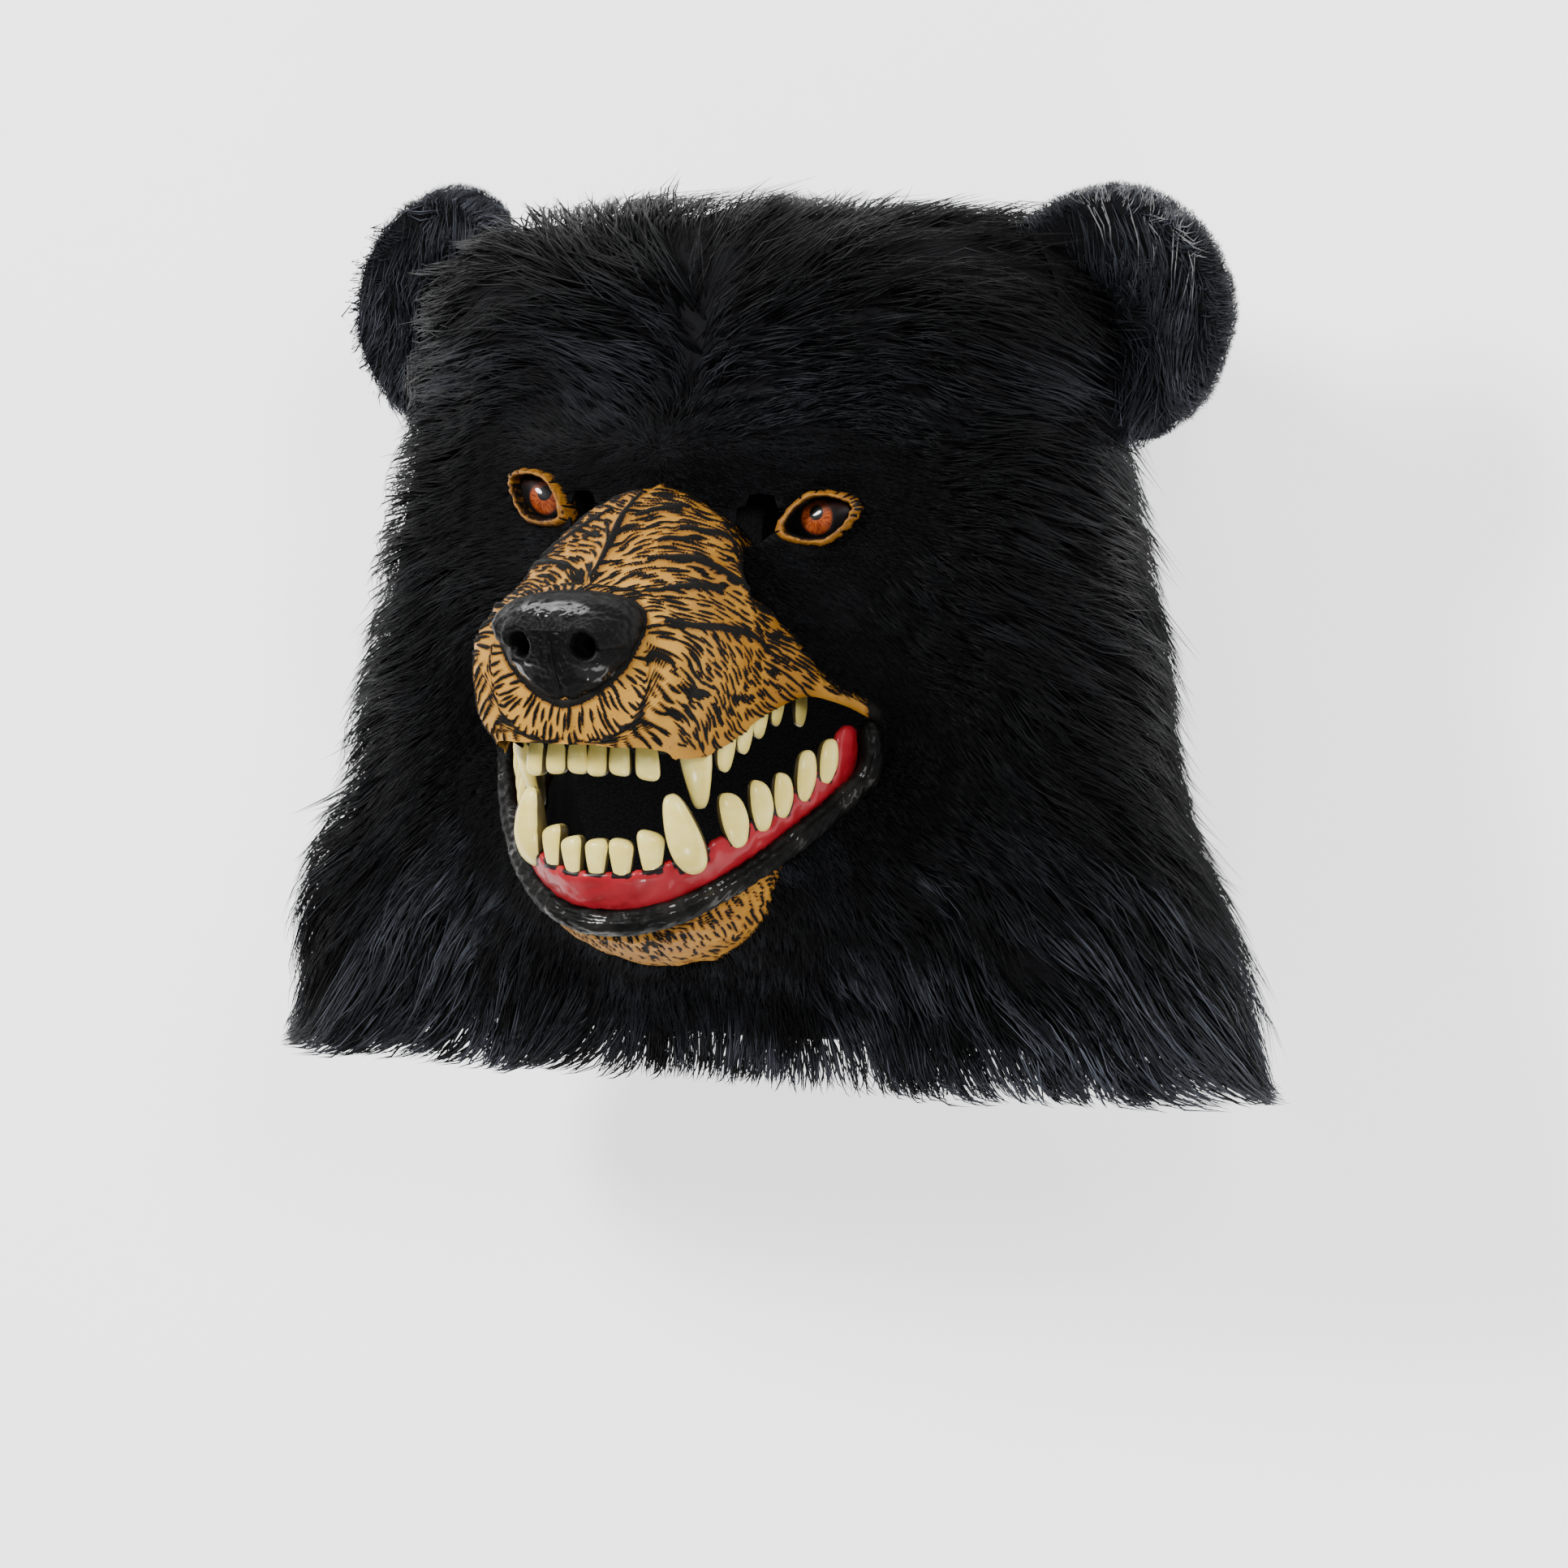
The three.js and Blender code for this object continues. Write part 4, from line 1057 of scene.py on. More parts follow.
def nose_gap(points):
    """Distance round the outline of the nose, less than 0 under it."""
    x, y, z = split(points - (0, NOSE_MID, 0))
    tall = np.where(y > 0, NOSE_TOP - NOSE_MID, NOSE_MID - NOSE_TIP)
    power = np.where(y > 0, NOSE_POWER_UP, NOSE_POWER_DOWN)
    return np.where(z > NOSE_FROM, edge_gap(x, y, oval_share(x / NOSE_HALF, y / tall, power)), 99.0)


def cut_density(points):
    """Cuts begun to the square millimetre, with none on the smooth lip and under the nose."""
    _, y, z = split(points)
    return 0.7 * (y - lip_height(z) > 4) * (nose_gap(points) > -1)


muzzle_pelt = Pelt(muzzle_form(0.0), muzzle_relief)
rng = np.random.default_rng(300)
v, a = muzzle_pelt.roots(rng, cut_density, (0.02, 0.97), (-1, 1), (120, 140))
at, out = muzzle_pelt.place(v, a)
bridge = ease(at[:, 1], -22, 0)
front = (1 - bridge) * (1 - ease(nose_gap(at), 12, 30))
length = rng.uniform(*CUT_LENGTHS, len(v))
width = rng.uniform(*CUT_WIDTHS, len(v)) + 0.1 * front + 0.05 * bridge
sparse = 0.6 * ease(lip_height(at[:, 2]) + 17 - at[:, 1], 0, 12) * (np.abs(at[:, 0]) > 20)
chosen = apart(at, out, muzzle_way(at), length, CUT_GAP + 0.75 * front + 0.25 * bridge + sparse)
length, width = length[chosen], width[chosen]
hair_lines = hair_paths(muzzle_pelt, v[chosen], a[chosen], muzzle_way, length)
valley_lines = [muzzle_pelt.points(*evenly(np.array(places), VALLEY_POINTS).T) for _, *places in VALLEYS]
valley_widths = np.array([half_width for half_width, *_ in VALLEYS])
round_it = np.linspace(-1, 1, MUZZLE_COLUMNS)
round_it = round_it + 0.07 * np.sin(np.pi * round_it)
rows, columns = grid(np.linspace(0, 1, MUZZLE_ROWS), round_it)
outer = muzzle_pelt.points(rows, columns)
folds = engrave(outer, valley_lines, VALLEY_REACH * valley_widths)
cuts = np.maximum(engrave(outer, hair_lines, width), engrave(outer, valley_lines, valley_widths))
cuts = np.maximum(cuts, 1 - np.abs(nose_gap(outer) + 0.4) / 1.6)
_, y, z = split(outer)
cuts = np.maximum(cuts, 2 * ease(SEAM_BLACK - z, 0, 3) - 1)
roll = rounded(1 - (y - lip_height(np.minimum(z, SNOUT_EDGE))) / EDGE_ROLL)
sunk = CUT_DEPTH * ease(cuts, -0.2, 0.7) + VALLEY_DEPTH * ease(folds, 0, 1) + EDGE_ROLL * (1 - roll)
outer = muzzle_pelt.points(rows, columns, sunk)

TAN, TAN_LIGHT, TAN_FRONT_LIT = (0.36, 0.155, 0.014), (0.50, 0.24, 0.028), (0.62, 0.33, 0.055)
LIT_FRONT_FROM, LIT_FRONT_TO = 0.270, 0.308
TAN_DARK, CUT_BLACK = (0.20, 0.072, 0.009), (0.003, 0.0026, 0.002)

# The rubber is mottled lighter here and there, with black paint left in the engraved cuts. Its front is
# painted lighter: painted light on the front of the muzzle.
muzzle_finish = Finish("tan_rubber", Specular_IOR_Level=0.17)
ragged = muzzle_finish.noise(900.0, 3.0, 0.6)
mottle = muzzle_finish.noise(60.0, 3.0)
stain = muzzle_finish.noise(25.0, 2.0)
depth = muzzle_finish.tone()
paint = (depth + (ragged - 0.5) * 1.3).step(-0.1, 0.1)
wash = (depth + (mottle - 0.5)).step(-1.0, -0.15) * 0.75
speck = muzzle_finish.noise(420.0, 2.0, 0.7).step(0.68, 0.72) * 0.7
# Painted light: the tan turns lighter towards the front of the muzzle.
ahead = muzzle_finish.add("ShaderNodeSeparateXYZ", None, (muzzle_finish.object_place(),), output=2)
front = ahead.step(LIT_FRONT_FROM, LIT_FRONT_TO)
rubber = muzzle_finish.mix(front * 0.6, muzzle_finish.mix(mottle.step(0.3, 0.7), TAN, TAN_LIGHT), TAN_FRONT_LIT)
rubber = muzzle_finish.mix((stain.step(0.5, 0.8) * 0.4).most(wash), rubber, TAN_DARK)
muzzle_finish.shade(
    Base_Color=muzzle_finish.mix(paint.most(speck), rubber, CUT_BLACK),
    Roughness=0.4 + mottle * 0.15 + paint * 0.2,
    Normal=muzzle_finish.bump(ragged - paint * 1.2, 0.35),
)
muzzle = sheet("muzzle_skin", outer, muzzle_finish, turn=-1, tone=cuts)

inside_finish = Finish("black_inside", Base_Color=(0.006, 0.006, 0.006, 1), Specular_IOR_Level=0.2)
inside_grain = inside_finish.noise(500.0, 2.0)
inside_finish.shade(Roughness=0.7 + inside_grain * 0.2, Normal=inside_finish.bump(inside_grain, 0.2))
rows, columns = grid(np.linspace(0, 1, INSIDE_ROWS), np.linspace(-1, 1, INSIDE_COLUMNS))
inner = muzzle_form(-SHELL_WALL)(rows, columns)
inner[..., 1] += 0.9 * (np.abs(columns) > 0.98)
inner_wall = sheet("muzzle_inside", inner, inside_finish)
for shell in (muzzle, inner_wall):
    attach(shell, "root")
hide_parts("face_shell")

# Nose.
# A thick pad cast with the muzzle and painted in glossy black, pebbled all over, with two deep nostrils
# that run out into slits at the sides, and a groove down its middle.
NOSE_BACK, NOSE_THICK = 299.0, 31.0
NOSE_STEPS = (
    (0.0, 0.0, 0.92),
    (0.22, 0.3, 0.99),
    (0.4, 0.56, 1.0),
    (0.52, 0.8, 0.88),
    (0.64, 0.95, 0.64),
    (0.78, 1.0, 0.38),
    (1.0, 1.005, 0.0),
)
NOSE_SLOPE_UP, NOSE_SLOPE_DOWN = 9.0, 8.0
NOSTRIL_X, NOSTRIL_Y, NOSTRIL_HALF_X, NOSTRIL_HALF_Y, NOSTRIL_DEPTH = 13.0, -26.0, 4.9, 5.4, 9.0
NOSE_ROWS, NOSE_COLUMNS = 90, 140


def nose_form(v, a):
    """Rings from the muzzle to the middle of the pad's face: squared above, drawn to a point below."""
    out, share = split(between(NOSE_STEPS, v))
    share = np.maximum(share, 0)
    above = np.sin(a) > 0
    power = np.where(above, NOSE_POWER_UP, NOSE_POWER_DOWN)
    tall = np.where(above, NOSE_TOP - NOSE_MID, NOSE_MID - NOSE_TIP)
    slope = np.where(above, NOSE_SLOPE_UP, NOSE_SLOPE_DOWN)
    x = NOSE_HALF * share * squared(np.cos(a), power)
    y = NOSE_MID + tall * share * squared(np.sin(a), power)
    return join(x, y, NOSE_BACK + NOSE_THICK * out - slope * np.abs(np.sin(a)) * share * out)


def nose_relief(points):
    """Pebbles, rolled wings round the nostrils, the groove between them and the slits at their sides."""
    x, y, z = split(points)
    side = np.abs(x)
    u, v = (side - NOSTRIL_X) / NOSTRIL_HALF_X, (y - NOSTRIL_Y) / NOSTRIL_HALF_Y
    hole = 1 - ease(np.hypot(u, v), 0.55, 1.05)
    slit_y = NOSTRIL_Y - 2.0 - 0.25 * (side - NOSTRIL_X) + 0.018 * (side - NOSTRIL_X) ** 2
    slit = bell((y - slit_y) / 1.6) * ease(side, NOSTRIL_X, NOSTRIL_X + 3) * (1 - ease(side, 24, 29))
    groove = bell(x / 1.6) * ease(-y, 20, 27)
    wing = bell((np.hypot(u, v) - 1.35) / 0.3) * ease(z, 314, 322)
    pebble = 0.28 * waves(points, 3.4, 41, 9) + 0.2 * waves(points, 1.9, 42, 9)
    front = ease(z, 309, 318)
    sunk = (2.4 * slit + 1.5 * groove) * front
    return 0.5 * waves(points, 13.0, 43) + pebble + wing - sunk, hole * front


nose_pelt = Pelt(nose_form, lambda points: nose_relief(points)[0])
v, a = grid(np.linspace(0, 1, NOSE_ROWS), circle(NOSE_COLUMNS))
points = nose_pelt.points(v, a)
nostril = nose_relief(nose_form(v, a))[1]
points[..., 2] -= NOSTRIL_DEPTH * nostril
x, y, _ = split(points)
wet = bell((np.abs(x) - 14) / 7) * bell((y + 36) / 4) + 0.9 * bell(x / 16) * bell((y + 13) / 3)

nose_finish = Finish("nose_black", Specular_IOR_Level=0.12, Coat_Roughness=0.07)
nose_tone = nose_finish.tone()
nose_hole, nose_wet = nose_tone.most(0.0), (-nose_tone).most(0.0)
pebbles = nose_finish.cells(420.0)
nose_wear = nose_finish.noise(50.0, 3.0)
nose_finish.shade(
    Base_Color=nose_finish.mix(nose_wear.step(0.5, 0.8), (0.002, 0.002, 0.002), (0.006, 0.006, 0.006)),
    Roughness=(0.42 + nose_wear * 0.2).most(nose_hole),
    Coat_Weight=(0.01 + (nose_wet + (nose_wear - 0.5) * 0.5).step(0.3, 0.6)) * (1.0 - nose_hole),
    Normal=nose_finish.bump(-pebbles, 0.3),
)
nose = sheet("nose_pad", points, nose_finish, around=True, tone=nostril - wet)
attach(nose, "root")

# Eyes.
# Each is a glossy ball, painted with an orange iris and a black pupil, behind an almond of tan rubber
# whose rim is edged in black and speckled, with small wrinkles at its outer corner.
BALL_X, BALL_Y = EYE_MIDDLE[:2]
IRIS_X, IRIS_Y, IRIS_RADIUS, PUPIL_UP, PUPIL_RADIUS = 59.6, 24.4, 6.8, 1.7, 2.9
OPENING_OVAL = (61.2, 24.2, 13.2, 8.0, 20.0, 1.5)
BLACK_OVAL = (BALL_X, BALL_Y, 13.2, 8.0, 20.0, 1.6)
BALL_HALF_X, BALL_HALF_Y, BALL_TOP, BALL_FALL, BALL_LEAN = 16.2, 9.6, 226.8, 6.0, np.radians(3.0)
# angle round the eye of each wrinkle, and where it runs from and to across the rim
CROW_FEET = (
    (-0.5, 0.42, 0.74), (-0.28, 0.3, 0.7), (-0.1, 0.24, 0.8), (0.06, 0.2, 0.66), (0.2, 0.26, 0.82),
    (0.36, 0.22, 0.68), (0.55, 0.3, 0.78), (0.8, 0.34, 0.66), (1.3, 0.3, 0.6), (1.9, 0.3, 0.62),
    (2.6, 0.3, 0.6), (3.14, 0.36, 0.66), (-1.0, 0.3, 0.5), (-2.0, 0.3, 0.48),
)
LID_PROFILE = (
    (0.0, -0.06, 204.0),
    (0.2, -0.02, 219.0),
    (0.34, 0.06, 225.0),
    (0.5, 0.3, 229.2),
    (0.66, 0.62, 230.9),
    (0.82, 0.9, 230.2),
    (0.92, 1.0, 227.5),
    (1.0, 1.03, 221.0),
)
EYE_ROWS, EYE_COLUMNS, BALL_ROWS, BALL_COLUMNS = 40, 100, 22, 64
FOOT_WIDTH, FOOT_DEPTH, EDGE_PAINTED = 0.5, 0.5, 0.34
CHART_SIZE, EYE_SINK = 100.0, 3.0


def oval_place(oval, a):
    """Points round a turned squared oval."""
    middle_x, middle_y, half_x, half_y, tilt, power = oval
    x, y = half_x * squared(np.cos(a), power), half_y * squared(np.sin(a), power)
    c, s = np.cos(np.radians(tilt)), np.sin(np.radians(tilt))
    return join(middle_x + x * c - y * s, middle_y + x * s + y * c)


def lid_form(v, a):
    """Almond rim: from its outer oval, up over the rim and down to the opening's oval."""
    share, z = split(between(LID_PROFILE, v))
    share = share[..., None]
    flat = oval_place(EYE_OVAL, a) * (1 - share) + oval_place(OPENING_OVAL, a) * share
    return join(*split(flat), z)


def lid_relief(points):
    """Wrinkles that run out from the eye's outer corner, over soft unevenness."""
    x, y, z = split(points)
    wrinkle = np.sin((y - BALL_Y - (x - BALL_X) * 0.35) * 2.4) * ease(x, 68, 74)
    return 0.3 * waves(points, 7.0, 51) + 0.35 * wrinkle


lid_finish = Finish("tan_eyelid", Specular_IOR_Level=0.3)
lid_x, lid_y = [value * CHART_SIZE for value in lid_finish.chart()]
lid_u, lid_w = oval_axes(lid_x, lid_y, BLACK_OVAL)
lid_reach = oval_share(lid_u / BLACK_OVAL[2], lid_w / BLACK_OVAL[3], BLACK_OVAL[5])
lid_grain = lid_finish.noise(600.0, 3.0, 0.6)
lid_speck = lid_finish.noise(300.0, 2.0, 0.6)
lid_edge = 1.0 - (lid_reach + (lid_grain - 0.5) * 0.16).step(0.98, 1.1)
lid_flecks = (lid_speck + (lid_reach - 1.3) * 0.4).step(0.58, 0.66)
lid_cuts = (lid_finish.tone() + (lid_grain - 0.5) * 1.3).step(-0.1, 0.1)
lid_black = lid_edge.most(lid_flecks).most(lid_cuts)
lid_colour = lid_finish.mix(lid_grain.step(0.3, 0.7), TAN_DARK, TAN)
lid_finish.shade(
    Base_Color=lid_finish.mix(lid_black, lid_colour, CUT_BLACK),
    Roughness=0.4 + lid_grain * 0.15,
    Normal=lid_finish.bump(lid_grain, 0.25),
)

eye_finish = Finish("painted_eye", Roughness=0.4, Specular_IOR_Level=0.1, Coat_Roughness=0.03)
eye_x, eye_y = [value * CHART_SIZE - middle for value, middle in zip(eye_finish.chart(), (IRIS_X, IRIS_Y))]
eye_ring = oval_share(eye_x, eye_y, 2.0)
pupil_ring = oval_share(eye_x, eye_y - PUPIL_UP, 2.0)
eye_spokes = eye_finish.at(eye_x / eye_ring * 2.2, eye_y / eye_ring * 2.2, eye_ring * 0.15)
eye_streak = eye_finish.noise(3.0, 3.0, place=eye_spokes)
eye_ragged = eye_ring + (eye_streak - 0.5) * 0.9
iris_colour = eye_finish.mix(eye_streak.step(0.35, 0.65), (0.15, 0.02, 0.004), (0.34, 0.068, 0.011))
iris_colour = eye_finish.mix(eye_ragged.step(5.3, 7.0), iris_colour, (0.06, 0.01, 0.004))
iris_edge = eye_ragged.step(IRIS_RADIUS - 0.3, IRIS_RADIUS + 0.1)
iris_colour = eye_finish.mix(iris_edge, iris_colour, (0.006, 0.005, 0.005))
# The top of the iris is painted dark: painted shadow of the upper lid.
lid_shadow_on_iris = (eye_y + (eye_streak - 0.5) * 2.0).step(1.5, 4.5) * 0.85
iris_colour = eye_finish.mix(lid_shadow_on_iris, iris_colour, (0.012, 0.004, 0.003))
pupil = 1.0 - pupil_ring.step(PUPIL_RADIUS - 0.2, PUPIL_RADIUS + 0.2)
eye_wet = 1.0 - eye_ring.step(IRIS_RADIUS - 0.4, IRIS_RADIUS + 1.0)
eye_finish.shade(
    Base_Color=eye_finish.mix(pupil, iris_colour, (0.004, 0.004, 0.004)),
    Coat_Weight=eye_wet,
)


def set_eye(points, side, lean):
    """Places on the face of points in the eye's flat chart: tilted, leant outwards, shifted and sunk."""
    shift_x, shift_y, tilt = EYE_SETTINGS[int(side < 0)]
    turn = turned("Y", lean) @ turned("Z", tilt)
    return ((points - EYE_MIDDLE) @ turn.T + EYE_MIDDLE + (shift_x, shift_y, -EYE_SINK)) * (side, 1, 1)


lid_pelt = Pelt(lid_form, lid_relief)
v, a = grid(np.linspace(0, 1, EYE_ROWS), circle(EYE_COLUMNS))
feet = [lid_pelt.points(np.linspace(low, high, 5), np.full(5, at)) for at, low, high in CROW_FEET]
lines = engrave(lid_pelt.points(v, a), feet, [FOOT_WIDTH] * len(feet))
lines = np.maximum(lines, 1 - v / EDGE_PAINTED)
lid_points = lid_pelt.points(v, a, FOOT_DEPTH * ease(lines, 0, 0.7))
out, turn = grid(np.linspace(0, 1, BALL_ROWS), circle(BALL_COLUMNS))
dome = oval_place((BALL_X, BALL_Y, BALL_HALF_X, BALL_HALF_Y, OPENING_OVAL[4], 2.0), turn)
flat = EYE_MIDDLE[:2] * (1 - out[..., None]) + dome * out[..., None]
ball_points = join(*split(flat), BALL_TOP - BALL_FALL * out**2)

for side, name in ((1, "left"), (-1, "right")):
    placed, chart = set_eye(lid_points, side, EYE_LEAN), lid_points[..., :2] / CHART_SIZE
    lid = sheet("eyelid_" + name, placed, lid_finish, True, side, chart, lines)
    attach(lid, "root")

    placed, chart = set_eye(ball_points, side, BALL_LEAN), ball_points[..., :2] / CHART_SIZE
    ball = sheet("eye_ball_" + name, placed, eye_finish, True, side, chart)
    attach(ball, "root")
    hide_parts("eye_" + name)

# Lower jaw: chin and lip.
# The chin is a bowl of the same tan rubber, engraved with upright cuts, with a thick wrinkled lip of black
# along its edge. The lip runs back and up on both sides to the corners of the mouth.
CHIN_BACK, CHIN_FRONT, CHIN_WALL = 188.0, 270.5, 3.0
LIP_RADIUS = 4.9
LIP_UP = (0.0, 0.707, 0.707)
CHIN_ROWS, CHIN_COLUMNS, BOWL_ROWS, BOWL_COLUMNS = 84, 130, 36, 44
CHIN_CLOSE, CHIN_LENGTHS, CHIN_WIDTHS, CHIN_GAP = 9.0, (5, 12), (0.4, 0.7), 1.7
LIP_POINTS, LIP_SIDES, LIP_END = 280, 40, 7


def chin_form(v, a):
    """Half bowl at each depth, from edge to edge, drawn together at the front under the lip."""
    z = CHIN_BACK + (CHIN_FRONT - CHIN_BACK) * np.sin(np.clip(v, 0, 1) * np.pi / 2)
    half, edge, low = split(between(CHIN, z))
    close = np.sqrt(np.clip((CHIN_FRONT - z) / CHIN_CLOSE, 0, 1))
    angle = np.pi * (1.5 + 0.5 * a)
    x = half * close * squared(np.cos(angle), CHIN_POWER)
    return join(x, edge + (edge - low) * close * squared(np.sin(angle), CHIN_POWER), z)


def chin_relief(points):
    return 0.6 * waves(points, 22.0, 61) + 0.3 * waves(points, 8.0, 62)


def chin_way(points):
    """Lie of the chin's engraved hair: down and back from the lip."""
    return join(points[..., 0] * 0.012 + 0.35 * waves(points, 15.0, 63), -1, -0.7)


def tube(path, wide, high, up, sides, power=2.0):
    """Rounded section carried along a row of points, with a half width and half height at each of them."""
    along = unit(np.gradient(path, axis=0))
    across = unit(np.cross(along, up))
    over = np.cross(across, along)
    angle = circle(sides)[:, None]
    ring = path[:, None] + across[:, None] * wide[:, None, None] * squared(np.cos(angle), power)
    return ring + over[:, None] * high[:, None, None] * squared(np.sin(angle), power)


def raised(ring, path, height):
    """Points of a tube moved out from its middle line by a height."""
    return ring + unit(ring - path[:, None] + 1e-9) * height[..., None]


def rounded_ends(count, turn):
    """Shares of the full section along a tube, with a quarter circle over its first and last points."""
    i = np.minimum(np.arange(count), np.arange(count)[::-1])
    return rounded(1 - i / turn)


chin_pelt = Pelt(chin_form, chin_relief)
rng = np.random.default_rng(400)
v, a = chin_pelt.roots(rng, lambda points: 0.4, (0.1, 0.98), (-0.98, 0.98), (60, 70))
at, out = chin_pelt.place(v, a)
length = rng.uniform(*CHIN_LENGTHS, len(v))
chosen = apart(at, out, chin_way(at), length, np.full(len(v), CHIN_GAP))
v, a, length = v[chosen], a[chosen], length[chosen]
rows, columns = grid(np.linspace(0, 1, CHIN_ROWS), np.linspace(-1, 1, CHIN_COLUMNS))
lines = hair_paths(chin_pelt, v, a, chin_way, length)
cuts = engrave(chin_pelt.points(rows, columns), lines, rng.uniform(*CHIN_WIDTHS, len(v)))
points = chin_pelt.points(rows, columns, CUT_DEPTH * ease(cuts, -0.2, 0.7))
chin = sheet("chin_skin", points, muzzle_finish, tone=cuts)
rows, columns = grid(np.linspace(0, 1, BOWL_ROWS), np.linspace(-1, 1, BOWL_COLUMNS))
inner_chin = sheet("chin_inside", chin_pelt.points(rows, columns, CHIN_WALL), inside_finish, turn=-1)

lip_path = evenly(with_corners(jaw_line(np.linspace(-1, 1, 200)), LIP_CORNER), LIP_POINTS)
ends = rounded_ends(LIP_POINTS, LIP_END)
size = LIP_RADIUS * (1 + 0.06 * waves(lip_path, 30.0, 64)) * ends
ring = tube(lip_path, size, size, LIP_UP, LIP_SIDES)
wrinkle = 0.4 * waves(ring * (0.35, 1, 1), 5.0, 65, 9) + 0.25 * waves(ring, 2.6, 66, 9)
angle = circle(LIP_SIDES)
crease = -0.7 * bell((angle - 1.1) / 0.22) - 0.5 * bell((angle - 2.4) / 0.2)
ring = raised(ring, lip_path, (wrinkle + crease) * ends[:, None])
lip_finish = Finish("black_lip", Specular_IOR_Level=0.1, Coat_Roughness=0.07)
lip_grain = lip_finish.noise(350.0, 3.0)
lip_wear = lip_finish.noise(70.0, 3.0)
lip_finish.shade(
    Base_Color=lip_finish.mix(lip_wear.step(0.45, 0.75), (0.002, 0.002, 0.0018), (0.01, 0.009, 0.007)),
    Roughness=0.42 + lip_wear * 0.25,
    Coat_Weight=0.02 + lip_wear.step(0.5, 0.7) * 0.55,
    Normal=lip_finish.bump(lip_grain, 0.5),
)
lip = sheet("lower_lip", ring, lip_finish, around=True)
for part in (chin, inner_chin, lip):
    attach(part, "root")
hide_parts("jaw_shell")

# Gums and teeth.
# Two rows of hard cream teeth, bowed and rounded, each with its root set in a strip of gum. Dark lines
# ring the roots. The lower gum is bare, a bumpy crimson strip that climbs behind the lip to the mouth's
# corners.
GUM_INSET, GUM_LIFT, GUM_DROP, GUM_AHEAD, GUM_THICK, GUM_HIGH = 0.955, 12.5, 4.5, 5.0, 2.6, 8.8
GUM_RUN, GUM_UP, GUM_POWER = 5 / 5.4, (0.0, 0.8, 0.6), 2.6
GUM_POINTS, GUM_SIDES, GUM_END = 200, 42, 6
UPPER_THICK, UPPER_HIGH, UPPER_END, UPPER_POINTS, UPPER_SIDES = 3.2, 5.2, 5, 180, 20
GUM_CORNER = ((70.5, -68, 216.5), (70.5, -56.5, 214))
UPPER_X, UPPER_Z, UPPER_RUN, UPPER_POWER, UPPER_LIFT = 48.0, 293.0, 68.0, 4.0, 6.0
# place along the row, length, half width, lean along the row and slant of the edge
UPPER_TEETH = (
    (0.09, 16, 4.3, 0.0, -0.06), (0.266, 16, 4.4, 0.04, 0.1), (0.444, 16.5, 4.7, 0.12, 0.2),
    (0.7, 33, 6.4, 0.0, 0.0), (0.833, 22, 5.6, -0.1, 0.3), (0.892, 20.5, 5.2, -0.1, 0.3),
    (0.938, 19, 4.8, -0.1, 0.3), (0.982, 18.5, 4.4, -0.1, 0.3), (1.035, 14, 4.2, -0.1, 0.3),
)
LOWER_TEETH = (
    (0.0, 15.5, 4.9, 0.02, 0.12), (0.126, 15.5, 5.0, 0.0, -0.18), (0.262, 17.5, 5.4, -0.04, -0.3),
    (0.45, 33, 7.0, 0.0, 0.0), (0.6, 22, 5.6, -0.26, -0.3), (0.68, 19.5, 4.9, -0.2, -0.35),
    (0.742, 18, 4.3, -0.04, -0.2), (0.808, 19.5, 4.4, 0.08, 0.2), (0.875, 17.5, 4.3, 0.1, 0.3),
)
# place along the row, and how far the roots stand over its line and in front of it
UPPER_ROOTS = ((0, -1.6, 0.3), (0.45, -1.6, 0.2), (0.7, -1.6, 0.0), (0.82, -1.6, -0.8), (1.1, -1.6, -1.0))
LOWER_ROOTS = (
    (0, 4.5, 3.0), (0.13, 4.4, 2.8), (0.262, 4.0, 2.2), (0.45, -1.0, 1.4),
    (0.6, 0.5, 2.2), (0.8, 1.5, 2.2), (1, 3, 2.2),
)
UPPER_FANG, LOWER_FANG = (-0.01, -1.0, -0.27), (-0.17, 1.0, 0.43)
FANG_AT = 3
TOOTH_ROWS, TOOTH_SIDES = 18, 24
PROFILES = {
    "upper": ((0.0, 0.82), (0.3, 0.92), (0.6, 1.0), (0.85, 0.98), (1.0, 0.9)),
    "upper_side": ((0.0, 0.95), (0.3, 1.0), (0.6, 0.92), (0.85, 0.74), (1.0, 0.6)),
    "upper_fang": ((0.0, 0.9), (0.3, 1.0), (0.55, 0.86), (0.8, 0.62), (1.0, 0.45)),
    "lower": ((0.0, 0.5), (0.2, 0.7), (0.5, 0.88), (0.8, 1.0), (1.0, 0.95)),
    "lower_side": ((0.0, 0.5), (0.2, 0.78), (0.45, 1.0), (0.7, 0.96), (0.9, 0.8), (1.0, 0.66)),
    "lower_fang": ((0.0, 0.55), (0.2, 0.9), (0.4, 1.0), (0.65, 0.88), (0.85, 0.66), (1.0, 0.5)),
}
TIP_FROM, TIP_POWER, ROOT_TO, ROOT_POWER, ROOT_SHOWN = 0.78, 3.0, 0.14, 2.4, 0.1
SECTION_POWERS, TOOTH_BOW, FANG_BOW = (2.8, 2.4), 0.03, 0.06
TOOTH_THICK, SIDE_THICK, FAR_INSET = 0.75, 0.45, 5.0


def upper_line(s):
    """Middle of the upper gum: along the inside of the lip, nearly square at the front."""
    z = UPPER_Z - UPPER_RUN * np.abs(s) ** UPPER_POWER
    return join(UPPER_X * s, lip_height(z) + UPPER_LIFT, z)


def lower_line(s):
    """Middle of the lower gum: inside and above the lower lip."""
    x, y, z = split(jaw_line(s))
    return join(x * GUM_INSET, y + GUM_LIFT - GUM_DROP * np.abs(s), z + GUM_AHEAD * (1 - s * s))


def tooth_share(kind, t):
    """Share of the full width at t along a tooth: its profile, rounded over to 0 at both ends."""
    share = between(PROFILES[kind], np.clip(t, 0, 1))[..., 0]
    tip, root = (t - TIP_FROM) / (1 - TIP_FROM), (ROOT_TO - t) / ROOT_TO
    return share * rounded(tip, TIP_POWER) * rounded(root, ROOT_POWER)


